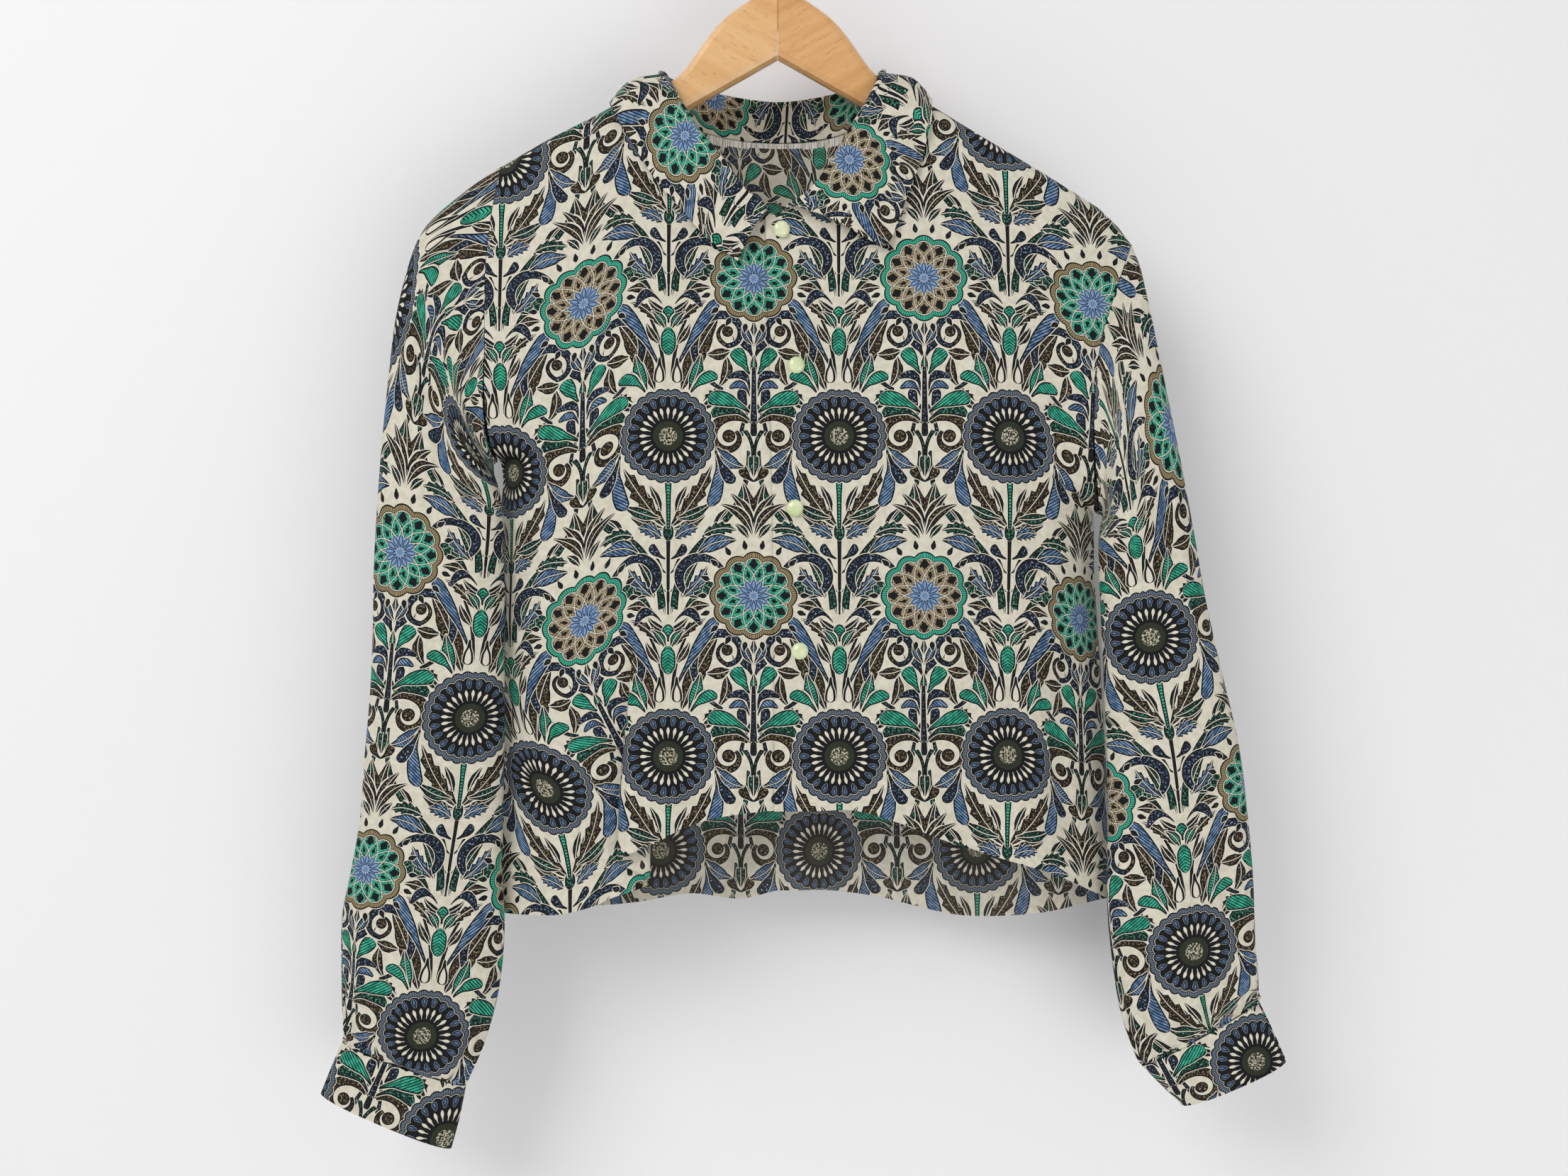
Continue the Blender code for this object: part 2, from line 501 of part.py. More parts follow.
def body_panels():
    u, v = np.meshgrid(FRONT_U[LEFT], BODY_V)
    cloth("front_right", front_point(LEFT, u, v), CREAM, flip=True)
    u, v = np.meshgrid(FRONT_U[RIGHT], BODY_V)
    cloth("front_left", front_point(RIGHT, u, v), (0.33, 0.36, 0.31))
    u, v = np.meshgrid(np.concatenate([-BACK_U[::-1], BACK_U[1:]]), BODY_V)
    left, right = back_point(LEFT, np.abs(u), v), back_point(RIGHT, np.abs(u), v)
    cloth("back", tuple(np.where(u < 0, a, b) for a, b in zip(left, right)), TINTS["back"], flip=True)


def sleeves_and_cuffs():
    down = ARMHOLE_V / UNDERARM_V * math.pi
    ring = np.concatenate([down, 2 * math.pi - down[-2:0:-1]])
    for side, owner in ((LEFT, "right"), (RIGHT, "left")):
        angle, t = np.meshgrid(ring, SLEEVE_T)
        cloth("sleeve_" + owner, sleeve_point(side, angle, t), (0.25, 0.33, 0.33), closed=True,
              flip=side == RIGHT)
        band = np.linspace(0, 2 * math.pi, 25)[:-1]
        if side == RIGHT:
            band = np.linspace(CUFF_SLIT["front"], 2 * math.pi - CUFF_SLIT["back"], 24)
        angle, t = np.meshgrid(band, CUFF_T)
        cloth("cuff_" + owner, tube_point(CUFF[side], angle, t, SLEEVE_BLUNT["cuff"]), (0.22, 0.30, 0.32),
              closed=side == LEFT, flip=side == RIGHT)


def collar():
    t, s = np.meshgrid(collar_stations(), COLLAR_S)
    cloth("collar", collar_point(t, s), TINTS["collar"], outside=0.0)


# Front buttons by their middles on the upper front; cuff buttons by angle round the cuff.
FRONT_BUTTONS = table("x z", (2.6, -238), (12.2, -327), (11.2, -419.5), (14.3, -511.5))


CUFF_BUTTON_ANGLE = 5.35            # behind the outer edge, on the side turned to the back
CUFF_BULGE = 0.25 * MM              # how far the cuff's curve stands out under its button


def cuff_place(side, angle, t):
    """One point on the inner face of a cuff's wall."""
    point = tube_point(CUFF[side], np.array(angle), np.array(t), SLEEVE_BLUNT["cuff"])
    return Vector([float(p) for p in point])


def outer_face(side, x, z):
    """How far forward the outer face of a front is at one place."""
    u, v = np.meshgrid(np.linspace(0, 0.4, 60), np.linspace(0, 1, 240))
    px, py, pz = front_point(side, u, v)
    nearest = np.argmin((px - x)**2 + (pz - z)**2)
    return py.flat[nearest] - CLOTH


def button(name, size, place, turn):
    """A domed button, turned from its profile and laid face outwards."""
    radius, height = size["radius"], size["height"]
    profile = ((0, height), (0.45, 0.93 * height), (0.8, 0.68 * height), (1.0, 0.35 * height),
               (0.88, 0.0), (0, 0))
    build = bmesh.new()
    points = [build.verts.new((share * radius if i else 0, 0, level))
              for i, (share, level) in enumerate(profile)]
    for upper, lower in zip(points, points[1:]):
        build.edges.new((upper, lower))
    mesh = bpy.data.meshes.new(name)
    build.to_mesh(mesh)
    build.free()
    thing = add(name, mesh, finish(name + "_pearl", (0.72, 0.74, 0.60), 0.22))
    turned = thing.modifiers.new("turned", "SCREW")
    turned.axis = "Z"
    turned.steps = turned.render_steps = 16
    turned.use_merge_vertices = True
    turned.merge_threshold = 0.00001
    thing.location = place
    thing.rotation_euler = turn
    return thing


def buttons():
    for i, (x, z) in enumerate(zip(FRONT_BUTTONS["x"], FRONT_BUTTONS["z"])):
        y = outer_face(RIGHT, x, z) - BUTTON_GAP
        button("button_%d" % (i + 1), FRONT_BUTTON, (x, y, z), (math.radians(90), 0, 0))
    for side, owner in ((LEFT, "right"), (RIGHT, "left")):
        middle = cuff_place(side, CUFF_BUTTON_ANGLE, 0.5)
        along = cuff_place(side, CUFF_BUTTON_ANGLE + 0.02, 0.5) - middle
        down = cuff_place(side, CUFF_BUTTON_ANGLE, 0.6) - middle
        normal = along.cross(down).normalized()
        if normal.y < 0:
            normal = -normal
        place = middle + normal * (CLOTH + BUTTON_GAP + CUFF_BULGE)
        button("cuff_button_" + owner, CUFF_BUTTON, place, normal.to_track_quat("Z", "Y").to_euler())


# ---------------------------------------------------------------- hanger

# Upper edge of one arm from the middle outwards, up to where it runs straight.
HUMP = table("x z", (0, -75), (10, -77), (18.5, -81.5), (27.5, -87.5), (37.5, -95.5), (46, -105.5),
             (53, -115.5), (61, -126.7), (68, -133.8))
ARM_FALL = {LEFT: 0.590, RIGHT: 0.620}      # drop for each unit outwards
ARM_BOW = 1.5 * MM
ARM_TALL = 25.0 * MM                        # upper edge to lower edge, measured upright
ARCH_Z = -120.5 * MM                        # top of the arch under the middle
ARCH_X = 62.0 * MM
HOOK_BORE = dict(radius=2.2 * MM, depth=27.0 * MM)


def arm_edge(side, x):
    run = HALF_SPAN - HUMP["x"][-1]
    share = (x - HUMP["x"][-1]) / run
    return HUMP["z"][-1] - ARM_FALL[side] * run * share + ARM_BOW * np.sin(math.pi * share)


def arm_outline(side):
    """One arm's outline, seen from the front, from the middle joint round the tip and back."""
    joint = SEAM_GAP / 2
    xs = [joint] + list(np.linspace(0.006, HUMP["x"][-1], 10))
    top = [(x, float(eased(HUMP["x"], HUMP["z"], x))) for x in xs]
    reach = HALF_SPAN - ARM_TALL * 0.45
    straight = np.linspace(HUMP["x"][-1], reach, 7)[1:]
    top += [(x, float(arm_edge(side, x))) for x in straight]
    slope = math.atan(ARM_FALL[side])
    radius = ARM_TALL * math.cos(slope) / 2
    edge = Vector((reach, float(arm_edge(side, reach))))
    middle = edge + Vector((-math.sin(slope), -math.cos(slope))) * radius
    tip = []
    for step in range(1, 8):
        turn = math.radians(90 - step * 22.5) - slope
        tip.append((middle.x + radius * math.cos(turn), middle.y + radius * math.sin(turn)))
    low = [(x, float(arm_edge(side, x)) - ARM_TALL) for x in np.linspace(reach - 0.012, ARCH_X, 6)]
    low.append((joint, ARCH_Z))
    return [(side * x, z) for x, z in top + tip + low]


def hanger_arms():
    bpy.ops.mesh.primitive_cylinder_add(vertices=16, radius=HOOK_BORE["radius"],
                                        depth=2 * HOOK_BORE["depth"],
                                        location=(0, 0, float(HUMP["z"][0])))
    bore = bpy.context.object
    bore.name = "hook_bore"
    bore.display_type = "WIRE"
    bore.hide_render = True
    for holder in list(bore.users_collection):
        holder.objects.unlink(bore)
    cutters.objects.link(bore)
    for side, owner in ((LEFT, "right"), (RIGHT, "left")):
        name = "hanger_arm_" + owner
        outline = arm_outline(side)
        build = bmesh.new()
        front = [build.verts.new((x, -WOOD_THICK / 2, z)) for x, z in outline]
        face = build.faces.new(front)
        grown = bmesh.ops.extrude_face_region(build, geom=[face])
        moved = [item for item in grown["geom"] if isinstance(item, bmesh.types.BMVert)]
        bmesh.ops.translate(build, verts=moved, vec=(0, WOOD_THICK, 0))
        bmesh.ops.recalc_face_normals(build, faces=build.faces[:])
        rims = [edge for edge in build.edges
                if abs(edge.verts[0].co.y - edge.verts[1].co.y) < 1e-6
                and not all(abs(vert.co.x) < SEAM_GAP for vert in edge.verts)]
        bmesh.ops.bevel(build, geom=rims, offset=WOOD_ROUND, segments=2, affect="EDGES", profile=0.5)
        mesh = bpy.data.meshes.new(name)
        build.to_mesh(mesh)
        build.free()
        arm = add(name, mesh, finish(name + "_beech", (0.72, 0.42, 0.16), 0.35))
        cut = arm.modifiers.new("hook bore", "BOOLEAN")
        cut.operation = "DIFFERENCE"
        cut.object = bore


def hook():
    """A bent steel wire: shank in the wood, then round over the rail."""
    radius = HOOK_RADIUS
    middle = HOOK_WIRE / 2 - radius
    foot = float(HUMP["z"][0]) - HOOK_BORE["depth"] + 1 * MM
    path = [(0, foot), (0, -0.075), (0, -0.058), (0.0012, -0.0500), (0.0046, -0.0432)]
    for step in range(19):
        turn = math.radians(-58 + step * 14.5)
        path.append((radius * math.cos(turn), middle + radius * math.sin(turn)))
    curve = bpy.data.curves.new("hanger_hook", "CURVE")
    curve.dimensions = "3D"
    curve.bevel_depth = HOOK_WIRE / 2
    curve.bevel_resolution = 2
    curve.use_fill_caps = True
    spline = curve.splines.new("POLY")
    spline.points.add(len(path) - 1)
    for point, (x, z) in zip(spline.points, path):
        point.co = (x, 0, z, 1)
    wire = bpy.data.objects.new("hanger_hook", curve)
    wire.data.materials.append(finish("hanger_hook_steel", (0.62, 0.62, 0.60), 0.25, 1.0))
    shirt.objects.link(wire)


for thing in list(bpy.data.objects):
    bpy.data.objects.remove(thing)
shirt = main_collection("cropped_shirt_on_hanger")
cutters = main_collection("cutters")
body_panels()
sleeves_and_cuffs()
collar()
buttons()
hanger_arms()
hook()
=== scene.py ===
"""The cropped button-up shirt on its wooden hanger, dressed for the photograph.

Metres, +Z up, the wearer's front towards -Y, +X to the right of someone who looks at the
front; the origin is where the hook rests on its rail.
"""

import math
from functools import partial, reduce
from itertools import chain

import bpy
import numpy as np
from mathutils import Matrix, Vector


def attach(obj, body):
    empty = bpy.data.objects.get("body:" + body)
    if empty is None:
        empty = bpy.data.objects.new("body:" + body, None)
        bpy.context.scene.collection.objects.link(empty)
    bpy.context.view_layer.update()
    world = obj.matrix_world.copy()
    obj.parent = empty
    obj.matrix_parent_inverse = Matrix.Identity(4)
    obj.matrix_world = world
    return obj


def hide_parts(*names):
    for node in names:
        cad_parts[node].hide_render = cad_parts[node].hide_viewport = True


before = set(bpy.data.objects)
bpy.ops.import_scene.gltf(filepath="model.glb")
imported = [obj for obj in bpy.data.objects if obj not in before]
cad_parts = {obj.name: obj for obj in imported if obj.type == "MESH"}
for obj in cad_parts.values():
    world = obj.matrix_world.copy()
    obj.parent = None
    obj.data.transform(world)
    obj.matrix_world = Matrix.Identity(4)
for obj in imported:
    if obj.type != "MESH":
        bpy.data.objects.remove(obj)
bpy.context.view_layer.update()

MM = 0.001
LEFT, RIGHT = -1, 1         # as seen from the front


# ------------------------------------------------------------------ the room
# A white wall close behind the shirt and a pale floor far below it, lit by one broad window
# from the upper left, a fill from the lower right and the room. The camera is level, 1.2 m in
# front of the hanger. The wall can be seen through from behind, to look at the shirt's back.

def linear(code):
    """An sRGB hex colour as linear red, green, blue and alpha."""
    parts = [int(code[i:i + 2], 16) / 255 for i in (1, 3, 5)]
    return tuple(p / 12.92 if p <= 0.04045 else ((p + 0.055) / 1.055)**2.4 for p in parts) + (1.0,)


def put(tree, kind, *inputs, stops=(), points=(), sharp=False, **settings):
    """Adds one node. A kind in capitals is a Math node's operation. Inputs are plain values,
    sockets, or nodes whose first output is meant, in the node's order or by number or name in a
    dictionary. A colour ramp also takes its stops and a curve its points, sharp or soft."""
    if kind.isupper():
        kind, settings = "Math", {"operation": kind}
    node = tree.nodes.new("ShaderNode" + kind)
    for name, value in settings.items():
        setattr(node, name, value)
    by_name = inputs[0] if inputs and isinstance(inputs[0], dict) else dict(enumerate(inputs))
    for socket, value in by_name.items():
        if isinstance(value, bpy.types.Node):
            value = value.outputs[0]
        if isinstance(value, bpy.types.NodeSocket):
            tree.links.new(value, node.inputs[socket])
        else:
            node.inputs[socket].default_value = value
    if stops:
        node.color_ramp.interpolation = "CONSTANT" if sharp else "LINEAR"
        while len(node.color_ramp.elements) < len(stops):
            node.color_ramp.elements.new(1.0)
        for element, (place, colour) in zip(node.color_ramp.elements, stops):
            element.position, element.color = place, colour
    if points:
        node.mapping.use_clip = False
        line = node.mapping.curves[0].points
        while len(line) < len(points):
            line.new(0, 0)
        for knot, place in zip(line, points):
            knot.location = place
            knot.handle_type = "VECTOR" if sharp else "AUTO_CLAMPED"
        node.mapping.update()
    return node


def surface(name, roughness, **values):
    """A new material with its shader's plain values set; also its tree and its shader's sockets."""
    material = bpy.data.materials.new(name)
    material.use_nodes = True
    sockets = material.node_tree.nodes["Principled BSDF"].inputs
    sockets["Roughness"].default_value = roughness
    for name, value in values.items():
        sockets[name.replace("_", " ")].default_value = value
    return material, material.node_tree, sockets


def add_object(name, data):
    """A new object in the scene's own collection."""
    thing = bpy.data.objects.new(name, data)
    bpy.context.scene.collection.objects.link(thing)
    return thing


camera = add_object("camera", bpy.data.cameras.new("camera"))
camera.data.lens = 41.5
camera.data.sensor_width = 36.0
camera.data.clip_start = 0.02
camera.location = (0.00416, -1.2, -0.471)
camera.rotation_euler = (math.radians(90), 0, 0)
bpy.context.scene.camera = camera
bpy.context.scene.view_settings.view_transform = "Standard"

WALL_Y, WALL_TOP, WALL_FOOT = 0.085, 6, -3
FLOOR_Z = -1.9
FAR = 9                     # half the width of wall and floor
ROOM_GLOW = 0.54
SHIRT_MIDDLE = Vector((0, 0, -0.45))
LAMPS = {                   # where it hangs, size in metres, watts, colour
    "window": ((-1.5, -2.1, 1.0), 1.6, 37.0, "#FFFDFA"),
    "fill": ((1.0, -2.2, -1.5), 1.8, 19.0, "#FFFAF4"),
}

# Matt white wall paint with a hardly visible unevenness, clear where it is seen from behind.
wall_paint, tree, sockets = surface("white_wall_paint", 0.9, IOR=1.5)
grain = put(tree, "TexNoise", {"Scale": 3.0, "Detail": 3.0})
tone = put(tree, "ValToRGB", grain, stops=((0, linear("#F0F1F4")), (1, linear("#F6F6F8"))))
tree.links.new(tone.outputs[0], sockets["Base Color"])
front = put(tree, "SUBTRACT", 1.0, put(tree, "NewGeometry").outputs["Backfacing"])
tree.links.new(front.outputs[0], sockets["Alpha"])

for name, corners in (
        ("wall", [(-FAR, WALL_Y, WALL_FOOT), (FAR, WALL_Y, WALL_FOOT),
                  (FAR, WALL_Y, WALL_TOP), (-FAR, WALL_Y, WALL_TOP)]),
        ("floor", [(-FAR, -FAR, FLOOR_Z), (FAR, -FAR, FLOOR_Z), (FAR, FAR, FLOOR_Z), (-FAR, FAR, FLOOR_Z)])):
    mesh = bpy.data.meshes.new(name)
    mesh.from_pydata(corners, [], [(0, 1, 2, 3)])
    mesh.materials.append(wall_paint)
    add_object(name, mesh)

world = bpy.data.worlds.new("room")
world.use_nodes = True
world.node_tree.nodes["Background"].inputs[0].default_value = linear("#FAF9F8")
world.node_tree.nodes["Background"].inputs[1].default_value = ROOM_GLOW
bpy.context.scene.world = world

for name, (place, size, power, colour) in LAMPS.items():
    lamp = bpy.data.lights.new(name, "AREA")
    lamp.size = size
    lamp.energy = power
    lamp.color = linear(colour)[:3]
    hung = add_object(name, lamp)
    hung.location = place
    hung.rotation_euler = (SHIRT_MIDDLE - Vector(place)).to_track_quat("-Z", "Y").to_euler()


# ------------------------------------------------------------------ how the shirt hangs
# One printed crepe for the whole shirt. Every piece was cut flat and hangs from the hanger:
# tables of edges and depths in millimetres, filled in as a fine sheet with its own creases.

def table(names, *rows):
    """Rows of millimetres under named columns, kept as arrays in metres."""
    return dict(zip(names.split(), np.array(rows, dtype=float).T * MM))


def eased(knots, values, at):
    """Values on a smooth line through the knots, held level past either end."""
    slopes = np.gradient(values, knots)
    at = np.clip(np.asarray(at, dtype=float), min(knots[0], knots[-1]), max(knots[0], knots[-1]))
    if knots[0] > knots[-1]:
        knots, values, slopes = knots[::-1], values[::-1], slopes[::-1]
    i = np.clip(np.searchsorted(knots, at) - 1, 0, len(knots) - 2)
    step = knots[i + 1] - knots[i]
    t = (at - knots[i]) / step
    return ((2 * t**3 - 3 * t**2 + 1) * values[i] + (t**3 - 2 * t**2 + t) * step * slopes[i]
            + (3 * t**2 - 2 * t**3) * values[i + 1] + (t**3 - t**2) * step * slopes[i + 1])


def unit(vectors):
    """The same directions, one long."""
    return vectors / np.sqrt((vectors**2).sum(axis=0))


def ramp(t):
    """Nought to one with a soft start and end."""
    t = np.clip(t, 0.0, 1.0)
    return t * t * (3 - 2 * t)


CLOTH = 1.6 * MM            # wall of one layer in the solid, which the fine sheets keep inside
SEAM_GAP = 0.3 * MM
LAP_GAP = 0.8 * MM

# The line over the top of the shoulders, from sleeve head to sleeve head.
SHOULDER = table("x z",
                 (-246, -262), (-235, -233), (-224.6, -222), (-203.8, -207.4), (-183, -192.8),
                 (-151.8, -174.6), (-123.2, -160.2), (-99.8, -147.4), (-66, -127.4), (0, -90),
                 (66, -129.6), (98, -150), (131.6, -170.6), (175.8, -197), (212.2, -220.0),
                 (225, -232.4), (233, -243.4), (243, -264))

# Armhole seam and then side seam, from the shoulder down to the hem.
SIDE_EDGE = {
    LEFT: table("z x", (-192.3, -182), (-225, -187.5), (-257, -190.5), (-313, -190.5),
                (-360, -190), (-378, -187), (-386, -184), (-430, -186), (-500, -190),
                (-600, -193), (-686, -193)),
    RIGHT: table("z x", (-243.4, 233), (-275, 221.5), (-310, 210.5), (-344, 206),
                 (-385, 205.5), (-410, 207.5), (-420, 209), (-460, 211), (-520, 216),
                 (-600, 221), (-680, 225)),
}
UNDERARM_Z = {LEFT: -386 * MM, RIGHT: -420 * MM}
UNDERARM_Y = 4.0 * MM
SIDE_SEAM_Y = table("drop y", (0, 4), (45, 12), (115, 18), (200, 20), (320, 20))

# How far the front and the back stand out from the hanger's plane.
FRONT_DEPTH = table("z y", (-120, 18), (-190, 21), (-260, 26), (-340, 31), (-430, 35),
                    (-530, 37), (-620, 38), (-700, 38))
BACK_DEPTH = table("z y", (-120, 20), (-260, 24), (-400, 27), (-700, 28))
ARM_COVER = 9.3 * MM        # cloth to hanger plane just below the top of an arm
ARM_ROUND = 9.0 * MM        # drop over which it rounds the arm
SPREAD = 45.0 * MM          # drop over which it leaves the arm for its full depth
NECK_HOLD = dict(out=22.0 * MM, wide=62.0 * MM, tall=75.0 * MM, z=-166.0 * MM, start=50.0 * MM)
STAND_LAP = dict(x=-34.0 * MM, wide=24.0 * MM)  # where the under front steps back for the lap

# Each panel runs from u = 0 at its centre edge to u = 1 at the armhole and side seam.
NECK_U = 0.45               # where a panel's top edge passes from neck seam to shoulder seam
FRONT_TOP = {
    LEFT: table("u x z", (0, 27, -227), (60, 5, -227), (100, -6, -227), (180, -25, -215),
                (260, -45, -199), (330, -62, -182), (380, -74, -167), (420, -83, -154),
                (450, -90, -142.3)),
    RIGHT: table("u x z", (0, -8, -228), (60, 6, -225.5), (120, 22, -217), (200, 39, -203),
                 (280, 53, -187), (340, 63, -171), (390, 71, -156), (425, 76.5, -145),
                 (450, 81, -139.2)),
}
FRONT_HEM = {
    LEFT: table("u x z", (0, 27, -613), (100, 2, -614), (200, -25, -616.5), (300, -50, -621.5),
                (390, -70, -630), (450, -81, -640), (510, -91, -652), (570, -101, -665),
                (640, -114, -675), (740, -135, -682), (870, -166, -685), (1000, -193, -686)),
    RIGHT: table("u x z", (0, -2, -614.5), (120, 22, -613.5), (250, 50, -612), (360, 74, -617.5),
                 (500, 108, -630), (650, 142, -640), (800, 177, -650), (1000, 225, -672)),
}
BACK_TOP = {
    LEFT: table("u x z", (0, 0, -166), (130, -26, -165.4), (260, -51, -162), (350, -69, -157),
                (410, -82, -149.5), (450, -90, -142.3)),
    RIGHT: table("u x z", (0, 0, -166), (130, 24, -165.4), (260, 47, -162), (350, 63, -156),
                 (410, 74, -147.5), (450, 81, -139.2)),
}
BACK_HEM = {
    LEFT: table("u x z", (0, 0, -676), (150, -28, -683), (300, -60, -679), (450, -92, -683),
                (620, -123, -687), (800, -160, -686), (1000, -193, -686)),
    RIGHT: table("u x z", (0, 0, -676), (150, 30, -675.5), (300, 64, -681), (450, 95, -688),
                 (620, 132, -695), (800, 172, -692), (1000, 225, -680)),
}
PLACKET_EDGE = {
    LEFT: table("z x", (-227, 27), (-400, 29), (-613, 27)),
    RIGHT: table("z x", (-228, -8), (-330, -5), (-430, -3), (-530, -2), (-614.5, -2)),
}

# The deep fold of the wearer's right front, which laps towards the side and opens downwards.
SIDE_FOLD = dict(x=-92.0 * MM, half_width=9.5 * MM, turn=0.72, sharp=0.30,
                 top=-430.0 * MM, full=-640.0 * MM, across=37.0 * MM, forward=15.0 * MM,
                 reach=5.0)

# Soft flutes that hang from chest to hem: middle line, half width, how far out, where they start.
FLUTE_GROWTH = 160.0 * MM   # drop over which a flute grows to its full depth
FRONT_FLUTES = table("x wide out start", (-150, 16, 5, -470), (70, 20, 5, -430),
                     (128, 17, -5, -380), (168, 16, 6, -430))
BACK_FLUTES = table("x wide out start", (-140, 24, 8, -430), (-92, 18, -6, -480),
                    (-38, 22, 7, -500), (18, 20, -7, -420), (74, 24, 8, -470),
                    (140, 26, 9, -400), (188, 18, -5, -450))


SWAY = 0.11                 # metres down over which a rumple wanders by one radian
CREASE_BOW = 0.12           # how far a fold bends aside, as a share of its length
CREASE_END = 0.25           # share of its length over which it fades at either end
UNDERARM_V = 0.45           # v runs from 0 at the top edge through the underarm to 1 at the hem
UNDERARM_LEVEL = -400.0 * MM    # height at which the centre edges cross the underarm row
ARMHOLE_DEPTH = 0.8         # depth of the armhole seam against that of the panel beside it
ARMHOLE_ROUND = 0.7         # how bluntly the armhole closes at the underarm
SECTION = dict(lens=3, blunt=9,     # the body's section: a lens at the top, a tube lower down
               lens_to=0.30, tube_from=0.48, tube_to=0.78)      # by share down the panel


def to_underarm(v):
    """Share of the way down to the underarm, slow at both ends; one from there to the hem."""
    return (1 - np.cos(math.pi * np.clip(v / UNDERARM_V, 0, 1))) / 2


def past_underarm(v):
    """Share of the way from the underarm to the hem."""
    return (v - UNDERARM_V) / (1 - UNDERARM_V)


def side_point(side, v):
    """x and z on the armhole seam and, below the underarm, on the side seam."""
    edge = SIDE_EDGE[side]
    top, under, hem = edge["z"][0], UNDERARM_Z[side], edge["z"][-1]
    z = np.where(v > UNDERARM_V, under + (hem - under) * past_underarm(v),
                 top + (under - top) * to_underarm(v))
    return eased(edge["z"], edge["x"], z), z


def top_point(tops, side, u):
    """x and z along the neck seam and then out along the shoulder."""
    neck = tops[side]
    x, z = (eased(neck["u"], neck[axis], np.minimum(u, NECK_U)) for axis in "xz")
    to_sleeve = (u - NECK_U) / (1 - NECK_U)
    x = np.where(u > NECK_U, neck["x"][-1] + (SIDE_EDGE[side]["x"][0] - neck["x"][-1]) * to_sleeve, x)
    return x, np.where(u > NECK_U, shoulder_height(x), z)


def shoulder_height(x):
    """Height of the line over the top of the shoulders."""
    return np.interp(x, SHOULDER["x"], SHOULDER["z"])


def standing_out(depths, x, z):
    """Distance of the cloth from the hanger's plane where it hangs free of the side seams."""
    drop = np.maximum(shoulder_height(x) - z, 0)
    over = np.sqrt(1 - (1 - np.minimum(drop / ARM_ROUND, 1))**2)
    free = eased(depths["z"], depths["y"], z) - ARM_COVER
    return ARM_COVER * over + free * (1 - np.exp(-drop / SPREAD))


def flutes(rows, x, z):
    """Sum of the soft vertical folds, growing down to the hem."""
    out = 0.0 * x
    for i in range(len(rows["x"])):
        grown = ramp((rows["start"][i] - z) / FLUTE_GROWTH)
        out = out + rows["out"][i] * grown * np.exp(-((x - rows["x"][i]) / rows["wide"][i])**2)
    return out


def panel_point(side, u, v, tops, hems, centre, depths, facing, rows):
    """One point of a body panel: its outline filled in, then brought out to its depth."""
    top_x, top_z = top_point(tops, side, u)
    corner_x, corner_z = top_point(tops, side, 1.0 + 0 * u)
    hem = hems[side]
    hem_x, hem_z = eased(hem["u"], hem["x"], u), eased(hem["u"], hem["z"], u)
    start_x, start_z = top_point(tops, side, 0 * u)
    mid_z = np.where(v > UNDERARM_V, UNDERARM_LEVEL + (hem["z"][0] - UNDERARM_LEVEL) * past_underarm(v),
                     start_z + to_underarm(v) * (UNDERARM_LEVEL - start_z))
    mid_x = start_x * 0 if centre is None else eased(centre["z"], centre["x"], mid_z)
    edge_x, edge_z = side_point(side, v)
    down = np.where(v > UNDERARM_V, v, UNDERARM_V * to_underarm(v))

    def fill(top, bottom, inner, outer, a, b, c, d):
        flat = (1 - down) * ((1 - u) * a + u * b) + down * ((1 - u) * c + u * d)
        return (1 - down) * top + down * bottom + (1 - u) * inner + u * outer - flat

    x = fill(top_x, hem_x, mid_x, edge_x, start_x, corner_x, hem["x"][0], hem["x"][-1])
    z = fill(top_z, hem_z, mid_z, edge_z, start_z, corner_z, hem["z"][0], hem["z"][-1])
    out = standing_out(depths, x, z)
    if facing > 0:
        hold = NECK_HOLD
        out = out + (hold["out"] * np.exp(-(x / hold["wide"])**2 - ((z - hold["z"]) / hold["tall"])**2)
                     * ramp((shoulder_height(x) - z) / hold["start"]))
    out = out + flutes(rows, x, z)
    # Towards the underarm and down the side the wall turns in to meet its neighbour.
    late = np.clip(v / UNDERARM_V, 0, 1)
    open_share = np.where(late > 0.5, np.sin(math.pi * late)**ARMHOLE_ROUND, 1.0)
    seam_y = np.where(v > UNDERARM_V, eased(SIDE_SEAM_Y["drop"], SIDE_SEAM_Y["y"],
                                            np.maximum(UNDERARM_Z[side] - edge_z, 0)), UNDERARM_Y)
    edge_out = standing_out(depths, edge_x, edge_z) * ARMHOLE_DEPTH
    edge_y = seam_y * (1 - open_share) + facing * edge_out * open_share
    power = SECTION["lens"] + (SECTION["blunt"] - SECTION["lens"]) * ramp(down / SECTION["lens_to"])
    tube = ramp((down - SECTION["tube_from"]) / (SECTION["tube_to"] - SECTION["tube_from"]))
    full = (1 - tube) * (1 - u**power) + tube * np.sqrt(np.maximum(1 - u**3, 0))
    y = edge_y + (facing * out - edge_y) * full
    return x, y, z


def deep_fold(x, y, z):
    """The lapped fold: cloth left of it slides under, cloth right of it slides over."""
    fold = SIDE_FOLD
    grown = ramp((fold["top"] - z) / (fold["top"] - fold["full"]))
    t = (x - fold["x"]) / fold["half_width"]
    steps = (np.tanh((t + fold["turn"]) / fold["sharp"]) + np.tanh((t - fold["turn"]) / fold["sharp"])) / 2
    fade = 1 - ramp((np.abs(t) - 1) / fold["reach"])
    x = x - fold["across"] * grown * t * np.exp(-t * t)
    return x, y - fold["forward"] / 2 * grown * steps * fade, z


